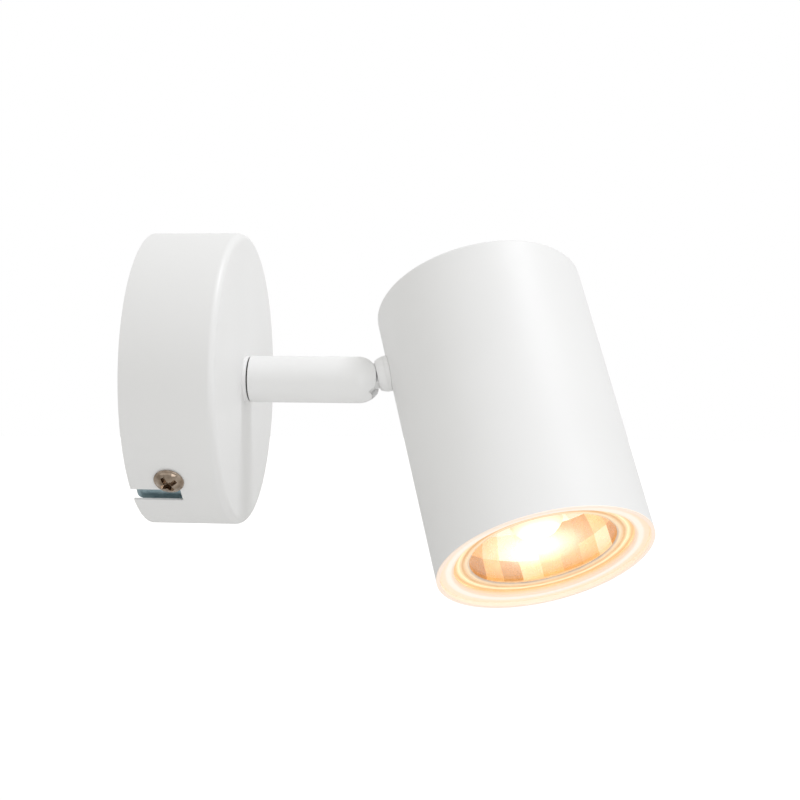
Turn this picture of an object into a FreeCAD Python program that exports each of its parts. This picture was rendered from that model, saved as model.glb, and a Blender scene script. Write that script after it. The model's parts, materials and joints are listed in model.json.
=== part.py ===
import FreeCAD, Part
import math
import os

import Sketcher
from FreeCAD import Placement, Rotation, Vector

# Pivoting spotlight for a wall. The origin is the centre of the canopy's back,
# on the wall. The arm points along -Y, +Z is up, and lengths are millimetres.

SIZES = [
    ("strap_angle", 41, "screw and strap direction below the horizontal, degrees"),
    ("swivel_rest", 30, "arm turned from straight down, degrees"),
    ("tilt_rest", 15, "head tilted outwards from straight down, degrees"),
    ("canopy_radius", 40, "outside of the canopy"),
    ("canopy_depth", 25, "canopy, wall to front"),
    ("canopy_wall", 1, "sheet of the canopy"),
    ("canopy_edge", 2, "rounding of the front edge"),
    ("notch_width", 5, "open leg of the bayonet notch"),
    ("notch_seat", 4.7, "leg that the screw sits in"),
    ("notch_turn", 6.1, "between the open leg and the seat"),
    ("screw_depth", 11, "canopy screws, from the wall"),
    ("screw_radius", 1.98, "shank of the M4 canopy screw"),
    ("screw_length", 6.5, "shank of the canopy screw"),
    ("screw_head_radius", 4, "pan head"),
    ("screw_head_edge", 0.9, "straight side of the pan head"),
    ("screw_head_height", 2.4, "pan head"),
    ("recess_width", 0.9, "cross recess"),
    ("recess_span", 4.4, "cross recess, tip to tip"),
    ("recess_depth", 1.2, "cross recess"),
    ("strap_thick", 1.5, "sheet of the bracket"),
    ("strap_width", 18, "strap and ears"),
    ("strap_bend", 2.5, "outer radius of the ear's bend"),
    ("ear_gap", 1.4, "ear to the inside of the canopy"),
    ("ear_height", 16, "ear, from the wall"),
    ("fixing_pitch", 51, "wall fixing holes, centre to centre"),
    ("fixing_radius", 2.25, "wall fixing holes"),
    ("tab_margin", 1, "tab round the terminal block"),
    ("entry_radius", 7, "hole for the grommet"),
    ("grommet_bore", 4.5, "opening for the supply"),
    ("grommet_flange", 9, "flange of the grommet"),
    ("grommet_thick", 1.5, "flange of the grommet"),
    ("block_length", 24, "terminal block across its poles"),
    ("block_width", 15, "terminal block along the wires"),
    ("block_height", 12, "terminal block off the tab"),
    ("block_start", 12, "terminal block, from the centre"),
    ("pole_pitch", 8, "between poles"),
    ("pole_radius", 2, "tunnel in the block"),
    ("sleeve_bore", 1.3, "wire hole of a brass sleeve"),
    ("clamp_radius", 1.15, "clamp screw"),
    ("clamp_spread", 3.5, "clamp screw from the block's middle"),
    ("thread_radius", 4, "hollow nipple and stem spigot"),
    ("nipple_bore", 2, "wire way in the nipple"),
    ("nipple_tail", 2.6, "nipple behind its nut"),
    ("nut_flats", 12, "hex nuts across flats"),
    ("nut_thick", 3, "nut in the canopy"),
    ("lock_thick", 0.8, "toothed washers"),
    ("tag_thick", 0.6, "earth tag"),
    ("tag_reach", 13, "earth tag's tail from the centre"),
    ("collar_thick", 1, "collar on the canopy's face"),
    ("gap_washer", 0.4, "friction washer of the swivel"),
    ("washer_recess", 0.5, "friction washer inside the arm's edge"),
    ("bush_length", 4, "bush in the arm"),
    ("wave_thick", 0.6, "wave washer"),
    ("keeper_thick", 2, "slotted nut that holds the arm"),
    ("nipple_spare", 0.8, "thread past the slotted nut"),
    ("stop_radius", 0.5, "stop pin of the swivel"),
    ("stop_bite", 0.5, "tip of the stop pin inside the nipple's surface"),
    ("stop_swing", 165, "swivel to each side of straight down, degrees"),
    ("arm_radius", 6.4, "outside of the arm"),
    ("arm_wall", 0.8, "wall of the arm's hollow end"),
    ("arm_spare", 6, "hollow of the arm past the nipple"),
    ("arm_core", 16.4, "hinge axis from the arm's hollow"),
    ("slot_half", 2.3, "half the slot in the arm's domed end"),
    ("slot_back", 4.9, "slot behind and below the hinge axis"),
    ("cheek_reach", 5.15, "cheeks, from the hinge axis to the stem"),
    ("cheek_tail", 10, "removable cheek behind the hinge axis"),
    ("tongue_half", 1.9, "half the tongue's width"),
    ("tongue_radius", 4.6, "tongue about the hinge axis"),
    ("tongue_neck", 3, "half the tongue's neck"),
    ("cheek_screw_radius", 0.95, "M2 screw of the removable cheek"),
    ("cheek_screw_drop", 2.8, "cheek screw below the arm's axis"),
    ("cheek_screw_seat", 1.1, "cheek left under the screw's head"),
    ("cheek_screw_tip", 0.7, "screw's tip in the near cheek"),
    ("cheek_head_radius", 1.7, "head of the cheek screw"),
    ("cheek_head_height", 1.1, "head of the cheek screw"),
    ("cheek_socket_radius", 0.75, "socket in the cheek screw"),
    ("cheek_socket_depth", 0.7, "socket in the cheek screw"),
    ("trunnion_radius", 1.5, "trunnions of the tongue"),
    ("trunnion_reach", 4.4, "trunnion tip from the middle"),
    ("hinge_washer", 0.3, "friction washers of the hinge"),
    ("lead_radius", 1.1, "sheathed twin lead"),
    ("core_radius", 0.6, "live and neutral leads"),
    ("earth_radius", 0.8, "earth lead"),
    ("stem_start", 5.25, "stem's back face, from the hinge axis"),
    ("stem_radius", 4.1, "stem at its back face"),
    ("stem_flare", 4.95, "stem at the head"),
    ("saddle_thick", 0.9, "saddle ring at the head's wall"),
    ("stem_length", 8.5, "hinge axis to the head's surface"),
    ("stem_nut_room", 0.6, "stem nut to the lampholder bracket"),
    ("stem_nut_thick", 2.5, "nut in the head"),
    ("spigot_length", 8, "thread of the stem inside the head's wall"),
    ("inner_saddle", 1.5, "saddle washer in the head"),
    ("inner_saddle_radius", 6.9, "saddle washer in the head"),
    ("holder_strip", 1.2, "sheet of the lampholder bracket"),
    ("holder_strip_width", 14, "lampholder bracket"),
    ("lamp_space", 2.7, "lamp to the inside of the head"),
    ("head_wall", 1, "sheet of the head"),
    ("lead_space", 7.8, "lampholder bracket to the head's top"),
    ("head_edge", 1, "rounding of the head's top edge"),
    ("ring_recess", 1.2, "retaining ring behind the rim"),
    ("ring_thick", 1.2, "retaining ring"),
    ("ring_cover", 1.2, "retaining ring over the lamp's rim"),
    ("lamp_radius", 25, "reflector lamp's rim"),
    ("lamp_rim_width", 3.1, "rim of the lamp round its glass"),
    ("lamp_rim_height", 2.8, "rim of the lamp"),
    ("glass_recess", 0.4, "glass behind the lamp's rim"),
    ("glass_thick", 1.8, "front glass"),
    ("reflector_depth", 28.9, "reflector behind the lamp's rim"),
    ("reflector_wall", 2, "glass of the reflector"),
    ("reflector_neck", 11.5, "neck of the reflector"),
    ("dome_radius", 7, "frosted dome over the light source"),
    ("dome_length", 26.5, "frosted dome"),
    ("dome_space", 0.8, "reflector's hole round the dome"),
    ("lamp_base_length", 17.9, "base of the lamp"),
    ("lamp_base_end", 10.5, "base of the lamp at its pins"),
    ("pin_offset", 5, "lamp pins from the axis"),
    ("pin_neck", 1.5, "lamp pin"),
    ("pin_head", 2.5, "lamp pin's head"),
    ("pin_neck_length", 2.3, "lamp pin"),
    ("pin_head_length", 2.5, "lamp pin's head"),
    ("lamp_twist", 25, "turn that locks the lamp, degrees"),
    ("holder_radius", 13, "lampholder"),
    ("holder_height", 18, "lampholder"),
    ("holder_lip", 1.5, "lip that the pins hook under"),
    ("holder_cavity", 5.4, "cavity for the pin heads"),
    ("holder_screw_offset", 8, "lampholder screws from the axis"),
    ("holder_screw_radius", 1.5, "M3 lampholder screw"),
    ("play", 0.3, "clear space between parts that move past each other"),
    ("fit", 0.05, "running clearance and seats in holes"),
    ("seat", 0.02, "clearance of round pieces fixed to each other"),
]


class Size:
    """A number together with the formula that gives it in the sheet."""

    def __init__(self, formula, number):
        self.formula = formula
        self.number = number

    def joined(self, sign, other, number):
        return Size(f"({self.formula} {sign} {size(other).formula})", number)

    def __add__(self, other):
        return self.joined("+", other, self.number + size(other).number)

    def __radd__(self, other):
        return size(other) + self

    def __sub__(self, other):
        return self.joined("-", other, self.number - size(other).number)

    def __rsub__(self, other):
        return size(other) - self

    def __mul__(self, other):
        return self.joined("*", other, self.number * size(other).number)

    def __rmul__(self, other):
        return size(other) * self

    def __truediv__(self, other):
        return self.joined("/", other, self.number / size(other).number)

    def __neg__(self):
        return size(0) - self

    def root(self):
        return Size(f"sqrt({self.formula})", math.sqrt(self.number))


def size(value):
    if isinstance(value, Size):
        return value
    return Size(f"({float(value)})", float(value))


class Dimensions:
    """The named cells of the sheet, one attribute for each."""

    def __init__(self, sheet, rows):
        for number, (name, value, note) in enumerate(rows, start=1):
            sheet.set(f"A{number}", note)
            sheet.set(f"B{number}", str(value))
            sheet.setAlias(f"B{number}", name)
        sheet.recompute()
        for name, value, note in rows:
            setattr(self, name, Size(f"Sizes.{name}", float(sheet.get(name))))


doc = FreeCAD.newDocument("pivoting_spotlight")
dim = Dimensions(doc.addObject("Spreadsheet::Sheet", "Sizes"), SIZES)
nodes = []

# Directions of a primitive's own axis
TURNS = {
    "z": Rotation(),
    "x": Rotation(Vector(0, 1, 0), 90),
    "-x": Rotation(Vector(0, 1, 0), -90),
    "y": Rotation(Vector(1, 0, 0), -90),
    "-y": Rotation(Vector(1, 0, 0), 90),
}


def bind(thing, name, value):
    thing.setExpression(name, size(value).formula)


def move_to(thing, place, along="z"):
    thing.Placement = Placement(Vector(0, 0, 0), TURNS[along])
    for axis, value in zip("xyz", place):
        if isinstance(value, Size) or value:
            bind(thing, f"Placement.Base.{axis}", value)
    return thing


def cylinder(name, radius, height, place=(0, 0, 0), along="z"):
    piece = doc.addObject("Part::Cylinder", name)
    bind(piece, "Radius", radius)
    bind(piece, "Height", height)
    return move_to(piece, place, along)


def box(name, low, high):
    piece = doc.addObject("Part::Box", name)
    for side, start, end in zip(("Length", "Width", "Height"), low, high):
        bind(piece, side, size(end) - size(start))
    return move_to(piece, low)


def fuse(name, *pieces):
    joined = doc.addObject("Part::MultiFuse", name)
    joined.Shapes = list(pieces)
    return joined


def cut(name, base, *tools):
    result = doc.addObject("Part::Cut", name)
    result.Base = base
    result.Tool = tools[0] if len(tools) == 1 else fuse(f"{name}_tools", *tools)
    return result


def common(name, first, second):
    result = doc.addObject("Part::Common", name)
    result.Base = first
    result.Tool = second
    return result


def ring(name, outer, bore, height, start, along="z"):
    place = (start, 0, 0) if along == "x" else (0, 0, start)
    solid = cylinder(f"{name}_solid", outer, height, place, along)
    hole = cylinder(f"{name}_hole", bore, height, place, along)
    return cut(name, solid, hole)


def hex_nut(name, flats, bore, height, start):
    prism = doc.addObject("Part::Prism", f"{name}_prism")
    prism.Polygon = 6
    bind(prism, "Circumradius", flats / math.sqrt(3))
    bind(prism, "Height", height)
    move_to(prism, (0, 0, start))
    return cut(name, prism, cylinder(f"{name}_hole", bore, height, (0, 0, start)))


def arc_centre(start, end, radius, turn):
    chord = end - start
    left = Vector(-chord.y, chord.x, 0)
    left.normalize()
    height = math.sqrt(max(radius ** 2 - chord.Length ** 2 / 4, 0))
    return (start + end) * 0.5 + left * (height * turn)


def add_edge(sketch, start, end, bow):
    """Draw one edge and return which of its ends is the start and which the end."""
    if bow is None:
        sketch.addGeometry(Part.LineSegment(start, end), False)
        return 1, 2
    radius, turn = bow
    centre = arc_centre(start, end, size(radius).number, turn)
    first, last = (start, end) if turn > 0 else (end, start)
    angles = [math.atan2(point.y - centre.y, point.x - centre.x) for point in (first, last)]
    circle = Part.Circle(centre, Vector(0, 0, 1), size(radius).number)
    sketch.addGeometry(Part.ArcOfCircle(circle, *angles), False)
    return (1, 2) if turn > 0 else (2, 1)


def fix_point(sketch, edge, end, across, up):
    for kind, value, line in (("DistanceX", across, -2), ("DistanceY", up, -1)):
        if not isinstance(value, Size) and value == 0:
            sketch.addConstraint(Sketcher.Constraint("PointOnObject", edge, end, line))
            continue
        rule = Sketcher.Constraint(kind, -1, 1, edge, end, size(value).number)
        bind(sketch, f"Constraints[{sketch.addConstraint(rule)}]", value)


def draw_outline(body, plane, corners):
    """Sketch a closed outline of (across, up) corners. A third entry bows the edge after it."""
    sketch = body.newObject("Sketcher::SketchObject", f"{body.Name}_outline")
    base = [item for item in body.Origin.OriginFeatures if item.Role == plane][0]
    sketch.AttachmentSupport = [(base, "")]
    sketch.MapMode = "FlatFace"
    points = [Vector(size(corner[0]).number, size(corner[1]).number, 0) for corner in corners]
    ends = []
    for index, corner in enumerate(corners):
        bow = corner[2] if len(corner) > 2 else None
        ends.append(add_edge(sketch, points[index], points[(index + 1) % len(points)], bow))
    for index in range(len(corners)):
        after = (index + 1) % len(corners)
        sketch.addConstraint(
            Sketcher.Constraint("Coincident", index, ends[index][1], after, ends[after][0]))
    for index, corner in enumerate(corners):
        fix_point(sketch, index, ends[index][0], corner[0], corner[1])
        if len(corner) > 2:
            rule = Sketcher.Constraint("Radius", index, size(corner[2][0]).number)
            bind(sketch, f"Constraints[{sketch.addConstraint(rule)}]", corner[2][0])
    return sketch


def turned(name, corners):
    """Body turned about its own z axis from (radius, height) corners."""
    body = doc.addObject("PartDesign::Body", name)
    sketch = draw_outline(body, "XZ_Plane", corners)
    turn = body.newObject("PartDesign::Revolution", f"{name}_turn")
    turn.Profile = sketch
    turn.ReferenceAxis = (sketch, ["V_Axis"])
    turn.Angle = 360
    return body


def folded(name, corners, width):
    """Body of sheet folded along its own y axis from an (x, z) outline."""
    body = doc.addObject("PartDesign::Body", name)
    pad = body.newObject("PartDesign::Pad", f"{name}_pad")
    pad.Profile = draw_outline(body, "XZ_Plane", corners)
    bind(pad, "Length", width)
    pad.Midplane = True
    return body


def lead_path(points, bends):
    """Straight runs joined by tangent arcs, one bend radius for each inner point."""
    edges = []
    start = points[0]
    for before, corner, after, radius in zip(points, points[1:], points[2:], bends):
        inward = (before - corner).normalize()
        outward = (after - corner).normalize()
        half = inward.getAngle(outward) / 2
        middle = (inward + outward).normalize()
        reach = radius / math.tan(half)
        top = corner + middle * (radius / math.sin(half) - radius)
        arc_start, arc_end = corner + inward * reach, corner + outward * reach
        edges.append(Part.LineSegment(start, arc_start).toShape())
        edges.append(Part.Arc(arc_start, top, arc_end).toShape())
        start = arc_end
    edges.append(Part.LineSegment(start, points[-1]).toShape())
    return Part.Wire(edges)


def lead(name, radius, points, bends=()):
    """Round lead along its route. Prints its length and checks its volume."""
    route = [Vector(*[size(value).number for value in point]) for point in points]
    path = lead_path(route, bends)
    start = (route[1] - route[0]).normalize()
    section = Part.Wire(Part.makeCircle(radius.number, route[0], start))
    shape = path.makePipeShell([section], True, False)
    expected = math.pi * radius.number ** 2 * path.Length
    if abs(shape.Volume - expected) > 0.01 * expected:
        raise ValueError(f"{name} has volume {shape.Volume}, not {expected}")
    print(f"{name}: {path.Length:.1f} mm long, bends {[round(bend, 1) for bend in bends]}")
    piece = doc.addObject("Part::Feature", name)
    piece.Shape = shape
    return piece


def largest_bends(points):
    """Bend radii as large as the runs allow, 0.45 of the shorter run at each point."""
    route = [Vector(*[size(value).number for value in point]) for point in points]
    bends = []
    for before, corner, after in zip(route, route[1:], route[2:]):
        runs = (before - corner), (after - corner)
        half_turn = (math.pi - runs[0].getAngle(runs[1])) / 2
        bends.append(0.45 * min(run.Length for run in runs) / math.tan(half_turn))
    return bends


def node(label, frame, *pieces):
    """Name a finished sub-part, or a group of solids, and put it in its frame."""
    piece = pieces[0]
    if len(pieces) > 1 or "Placement" in str(piece.ExpressionEngine):
        piece = doc.addObject("Part::Compound", f"{label}_group")
        piece.Links = list(pieces)
    piece.Label = label
    piece.Placement = frame
    nodes.append(piece)


# Frames. In the wall, arm and stem frames z runs outwards. In the head's frame z
# runs from the rim to the closed top, and y from the head's axis to the hinge.
OUTWARD = Rotation(Vector(1, 0, 0), 90)


def about_y(angle):
    return Rotation(Vector(0, 1, 0), angle)


def frame_at(point, *turns):
    rotation = Rotation()
    for turn in turns:
        rotation = rotation.multiply(turn)
    return Placement(point, rotation)


# Places along the swivel's axis, from the wall outwards
front_inside = dim.canopy_depth - dim.canopy_wall
tag_start = front_inside - dim.tag_thick
lock_start = tag_start - dim.lock_thick
nut_start = lock_start - dim.nut_thick
nipple_start = nut_start - dim.nipple_tail
washer_start = dim.canopy_depth + dim.collar_thick
arm_start = washer_start + dim.gap_washer + dim.fit
bush_end = arm_start + dim.bush_length
bush_middle = (arm_start + bush_end) / 2
keeper_start = bush_end + dim.fit + dim.wave_thick
nipple_end = keeper_start + dim.keeper_thick + dim.nipple_spare
hollow_end = nipple_end + dim.arm_spare
pivot_depth = hollow_end + dim.arm_core
arm_bore = dim.arm_radius - dim.arm_wall
thread_hole = dim.thread_radius + 2 * dim.fit
cheek_screw_line = (-dim.cheek_screw_drop, pivot_depth - (dim.cheek_tail + dim.slot_back) / 2)
cheek_screw_seat = dim.slot_half + dim.cheek_screw_seat
cheek_screw_end = -dim.slot_half - dim.cheek_screw_tip
cheek_screw_hole = dim.cheek_screw_radius + dim.fit
stop_reach = dim.thread_radius - dim.stop_bite

# Places along the head's axis, from the rim upwards
head_bore = dim.lamp_radius + dim.lamp_space
head_radius = head_bore + dim.head_wall
glass_radius = dim.lamp_radius - dim.lamp_rim_width
lamp_start = dim.ring_recess + dim.ring_thick + dim.play
reflector_start = lamp_start + dim.lamp_rim_height
base_start = reflector_start + dim.reflector_depth
base_end = base_start + dim.lamp_base_length
holder_start = base_end + dim.play
holder_end = holder_start + dim.holder_height
strip_top = holder_end + dim.holder_strip
head_length = strip_top + dim.lead_space + dim.head_wall
stem_height = holder_end - dim.nut_flats / 2 - dim.stem_nut_room

# Places along the stem, from the hinge axis to the head's axis
stem_reach = dim.stem_length + head_radius
head_inside = dim.stem_length + dim.head_wall
strip_start = head_inside + dim.inner_saddle
stem_lock_start = strip_start + dim.holder_strip
stem_nut_start = stem_lock_start + dim.lock_thick
wire_way = dim.lead_radius + dim.play
lead_run = dim.holder_radius + dim.lead_radius + 1

# The terminal block on the bracket's tab
block_low = dim.strap_thick
block_top = block_low + dim.block_height
block_end = dim.block_start + dim.block_width
block_middle = dim.block_start + dim.block_width / 2
pole_height = block_low + dim.block_height / 2
poles = [-dim.pole_pitch, size(0), dim.pole_pitch]

hinge_point = Vector(0, -pivot_depth.number, 0)
swivel = about_y(dim.swivel_rest.number)
tilt = Rotation(Vector(1, 0, 0), -dim.tilt_rest.number)
wall = frame_at(Vector(), about_y(180 - dim.strap_angle.number), OUTWARD)
level = frame_at(Vector(), OUTWARD)
arm = frame_at(Vector(), swivel, OUTWARD)
stem = frame_at(hinge_point, swivel, tilt, OUTWARD)
rim_point = Vector(0, -stem_reach.number, -stem_height.number)
head = frame_at(hinge_point, swivel, tilt).multiply(Placement(rim_point, Rotation()))


def wall_bracket():
    ear = dim.canopy_radius - dim.canopy_wall - dim.ear_gap
    thick, bend = dim.strap_thick, dim.strap_bend
    inner = bend - thick
    strap = folded("strap", [
        (ear - bend, 0, (bend, 1)),
        (ear, bend),
        (ear, dim.ear_height),
        (ear - thick, dim.ear_height),
        (ear - thick, bend, (inner, -1)),
        (ear - bend, thick),
        (bend - ear, thick, (inner, -1)),
        (thick - ear, bend),
        (thick - ear, dim.ear_height),
        (-ear, dim.ear_height),
        (-ear, bend, (bend, 1)),
        (bend - ear, 0),
    ], dim.strap_width)
    half = dim.block_length / 2 + dim.tab_margin
    tab = box("tab", (-half, 0, 0), (half, block_end + dim.tab_margin, thick))
    holes = [cylinder("entry_hole", dim.entry_radius, thick)]
    for side in (-1, 1):
        place = (dim.fixing_pitch / 2 * side, 0, 0)
        holes.append(cylinder("fixing_hole", dim.fixing_radius, thick, place))
    ear_hole_radius = dim.screw_radius + dim.fit
    holes.append(cylinder("ear_holes", ear_hole_radius, ear * 2, (-ear, 0, dim.screw_depth), "x"))
    block_hole = (dim.pole_pitch / 2, block_middle, 0)
    holes.append(cylinder("block_hole", dim.clamp_radius + 0.25, thick, block_hole))
    blank = fuse("bracket_blank", strap, tab)
    node("wall_bracket", wall, cut("wall_bracket_cut", blank, *holes))


def cable_grommet():
    barrel = dim.entry_radius - dim.fit
    top = dim.strap_thick + dim.grommet_thick
    body = turned("grommet", [
        (dim.grommet_bore, 0),
        (barrel, 0),
        (barrel, dim.strap_thick),
        (dim.grommet_flange, dim.strap_thick),
        (dim.grommet_flange, top),
        (dim.grommet_bore, top),
    ])
    node("cable_grommet", wall, body)


def clamp_places():
    return [(pole, block_middle + dim.clamp_spread * side) for pole in poles for side in (-1, 1)]


def terminal_block():
    half = dim.block_length / 2
    start = dim.block_start
    body = box("block_body", (-half, start, block_low), (half, block_end, block_top))
    hollows = []
    for pole in poles:
        place = (pole, start, pole_height)
        hollows.append(cylinder("tunnel", dim.pole_radius, dim.block_width, place, "y"))
    well = dim.clamp_radius + 0.35
    for across, along in clamp_places():
        place = (across, along, pole_height)
        hollows.append(cylinder("well", well, dim.block_height / 2, place))
    place = (dim.pole_pitch / 2, block_middle, block_low)
    hollows.append(cylinder("fixing_way", dim.clamp_radius + 0.25, dim.block_height, place))
    node("terminal_block", wall, cut("terminal_block_cut", body, *hollows))


def terminal_sleeves():
    sleeves = []
    inset = 0.5
    outer = dim.pole_radius - dim.fit
    for pole in poles:
        place = (pole, dim.block_start + inset, pole_height)
        length = dim.block_width - 2 * inset
        holes = [cylinder("wire_hole", dim.sleeve_bore, length, place, "y")]
        for side in (-1, 1):
            hole = (pole, block_middle + dim.clamp_spread * side, pole_height)
            holes.append(cylinder("clamp_hole", dim.clamp_radius + dim.fit, dim.pole_radius, hole))
        tube = cylinder("sleeve_tube", outer, length, place, "y")
        sleeves.append(cut("terminal_sleeve", tube, *holes))
    node("terminal_sleeves", wall, *sleeves)


def terminal_screws():
    tip = pole_height + dim.earth_radius + dim.fit
    screws = []
    for across, along in clamp_places():
        length = block_top - tip - 0.6
        screw = cylinder("clamp_screw", dim.clamp_radius, length, (across, along, tip))
        slot_low = (across - dim.clamp_radius, along - 0.2, tip + length - 0.5)
        slot_high = (across + dim.clamp_radius, along + 0.2, tip + length)
        screws.append(cut("slotted_screw", screw, box("screw_slot", slot_low, slot_high)))
    node("terminal_screws", wall, *screws)


def terminal_fixing_screw():
    place = (dim.pole_pitch / 2, block_middle)
    shank = cylinder("block_shank", dim.clamp_radius, block_top - 0.2, place + (0.2,))
    screw_head = cylinder("block_head", dim.clamp_radius * 1.8, 1.3, place + (block_top,))
    body = fuse("block_screw", shank, screw_head)
    slot_low = (place[0] - 3, place[1] - 0.25, block_top + 0.7)
    slot_high = (place[0] + 3, place[1] + 0.25, block_top + 1.3)
    node("terminal_fixing_screw", wall, cut("block_screw_cut", body, box("slot", slot_low, slot_high)))


def on_side(side, start, end):
    """Low and high ends of a span that is mirrored where side is -1."""
    return (start, end) if side > 0 else (-end, -start)


def wall_canopy():
    radius, depth, thick, edge = (
        dim.canopy_radius, dim.canopy_depth, dim.canopy_wall, dim.canopy_edge)
    cup = turned("canopy_cup", [
        (radius, 0),
        (radius, depth - edge, (edge, 1)),
        (radius - edge, depth),
        (thread_hole, depth),
        (thread_hole, depth - thick),
        (radius - edge, depth - thick, (edge - thick, -1)),
        (radius - thick, depth - edge),
        (radius - thick, 0),
    ])
    notches = []
    seat_half, leg_half = dim.notch_seat / 2, dim.notch_width / 2
    inside = radius - dim.ear_gap * 4
    seat_start = dim.screw_depth - seat_half
    seat_end = dim.screw_depth + seat_half
    for side in (-1, 1):
        near, far = on_side(side, inside, radius * 1.2)
        leg_low, leg_high = on_side(side, dim.notch_turn - leg_half, dim.notch_turn + leg_half)
        seat_low, seat_high = on_side(side, -seat_half, dim.notch_turn + leg_half)
        notches.append(box("notch_leg", (near, leg_low, -1), (far, leg_high, seat_end)))
        notches.append(box("notch_seat", (near, seat_low, seat_start), (far, seat_high, seat_end)))
    node("wall_canopy", wall, cut("canopy_cut", cup, *notches))


def pan_screw(name, along, place):
    crown = dim.screw_head_height - dim.screw_head_edge
    bow = (dim.screw_head_radius * dim.screw_head_radius + crown * crown) / (crown * 2)
    body = turned(f"{name}_turned", [
        (0, -dim.screw_length),
        (dim.screw_radius, -dim.screw_length),
        (dim.screw_radius, 0),
        (dim.screw_head_radius, 0),
        (dim.screw_head_radius, dim.screw_head_edge, (bow, 1)),
        (0, dim.screw_head_height),
    ])
    long_half, short_half = dim.recess_span / 2, dim.recess_width / 2
    top = dim.screw_head_height
    low = top - dim.recess_depth
    cross = [
        box("recess_bar", (-long_half, -short_half, low), (long_half, short_half, top)),
        box("recess_bar", (-short_half, -long_half, low), (short_half, long_half, top)),
    ]
    return move_to(cut(name, body, *cross), place, along)


def canopy_screws():
    seat = dim.canopy_radius + dim.fit
    screws = [
        pan_screw("screw_near", "x", (seat, 0, dim.screw_depth)),
        pan_screw("screw_far", "-x", (-seat, 0, dim.screw_depth)),
    ]
    node("canopy_screws", wall, *screws)


def earth_tag():
    eye = cylinder("tag_eye", dim.thread_radius + 3.4, dim.tag_thick, (0, 0, tag_start))
    tail = box("tag_tail", (-dim.tag_reach, -2.4, tag_start), (-6, 2.4, front_inside))
    hole = cylinder("tag_hole", thread_hole, dim.tag_thick, (0, 0, tag_start))
    node("earth_tag", wall, cut("earth_tag_cut", fuse("tag_blank", eye, tail), hole))


def swivel_nipple():
    tube = turned("nipple_tube", [
        (dim.nipple_bore, nipple_start),
        (dim.thread_radius, nipple_start),
        (dim.thread_radius, nipple_end),
        (dim.nipple_bore, nipple_end),
    ])
    floor = stop_reach - 2 * dim.fit
    half_height = dim.stop_radius + dim.fit * 3
    pin_angle = math.degrees(math.asin(dim.stop_radius.number / dim.thread_radius.number))
    sweep = 2 * (dim.stop_swing.number + pin_angle + 2)
    outer = cylinder("groove_outer", dim.thread_radius + 1, half_height * 2)
    outer.Angle = sweep
    inner = cylinder("groove_inner", floor, half_height * 2)
    groove = cut("stop_groove", outer, inner)
    move_to(groove, (0, 0, bush_middle - half_height))
    groove.Placement.Rotation = Rotation(Vector(0, 0, 1), 90 - sweep / 2)
    node("swivel_nipple", level, cut("nipple_cut", tube, groove))


def washer_ring(label, frame, outer, bore, height, start):
    node(label, frame, ring(f"{label}_ring", outer, bore, height, start))


def split_washer(label, frame, start):
    body = ring(f"{label}_ring", dim.nut_flats / 2, thread_hole, dim.lock_thick, start)
    slit = box("washer_slit", (0, -0.3, start), (dim.nut_flats, 0.3, start + dim.lock_thick))
    node(label, frame, cut(f"{label}_cut", body, slit))


def swivel_fixed_pieces():
    split_washer("nipple_lock_washer", wall, lock_start)
    tapped = dim.thread_radius + dim.seat
    node("nipple_nut", wall, hex_nut("nipple_hex", dim.nut_flats, tapped, dim.nut_thick, nut_start))
    bevel = 0.2
    collar = turned("collar_turned", [
        (tapped, dim.canopy_depth),
        (dim.arm_radius, dim.canopy_depth),
        (dim.arm_radius, washer_start - bevel),
        (dim.arm_radius - bevel, washer_start),
        (tapped, washer_start),
    ])
    node("swivel_collar", level, collar)
    washer_ring("swivel_friction_washer", level, dim.arm_radius - dim.washer_recess, thread_hole,
                dim.gap_washer, washer_start)
    washer_ring("swivel_wave_washer", level, arm_bore - dim.play, thread_hole, dim.wave_thick,
                bush_end + dim.fit)
    keeper = ring("keeper_ring", arm_bore - dim.play, tapped, dim.keeper_thick, keeper_start)
    slot_low = (-dim.arm_radius, -0.7, keeper_start + dim.keeper_thick / 2)
    slot_high = (dim.arm_radius, 0.7, keeper_start + dim.keeper_thick)
    node("swivel_slotted_nut", level, cut("keeper_cut", keeper, box("key_slot", slot_low, slot_high)))


def wall_leads():
    ends = nipple_start - 2.3
    spread = dim.core_radius + dim.fit
    start = dim.block_start + 4
    turn = dim.block_start - 4
    climb = pole_height + 1
    routes = {
        "live_lead": (dim.core_radius, [
            (dim.pole_pitch, start, pole_height), (dim.pole_pitch, turn, pole_height),
            (spread, 0, climb), (spread, 0, ends)]),
        "neutral_lead": (dim.core_radius, [
            (0, start, pole_height), (0, turn, pole_height),
            (-spread, 0, climb), (-spread, 0, ends)]),
        "earth_lead": (dim.earth_radius, [
            (-dim.pole_pitch, start, pole_height), (-dim.pole_pitch, turn, pole_height),
            (2 - dim.tag_reach, 0, pole_height + 5), (2 - dim.tag_reach, 0, tag_start)]),
    }
    for label, (radius, points) in routes.items():
        node(label, wall, lead(f"{label}_run", radius, points, largest_bends(points)))


def arm_blank(name):
    """Solid arm with its domed end, from the swivel's gap to the tip."""
    return turned(name, [
        (0, arm_start),
        (dim.arm_radius, arm_start),
        (dim.arm_radius, pivot_depth, (dim.arm_radius, 1)),
        (0, pivot_depth + dim.arm_radius),
    ])


def cheek_box(name, gap):
    far = dim.arm_radius * 2
    low = (dim.slot_half + gap, -far, pivot_depth - dim.cheek_tail + gap)
    return box(name, low, (far, far, pivot_depth + far))


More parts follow.
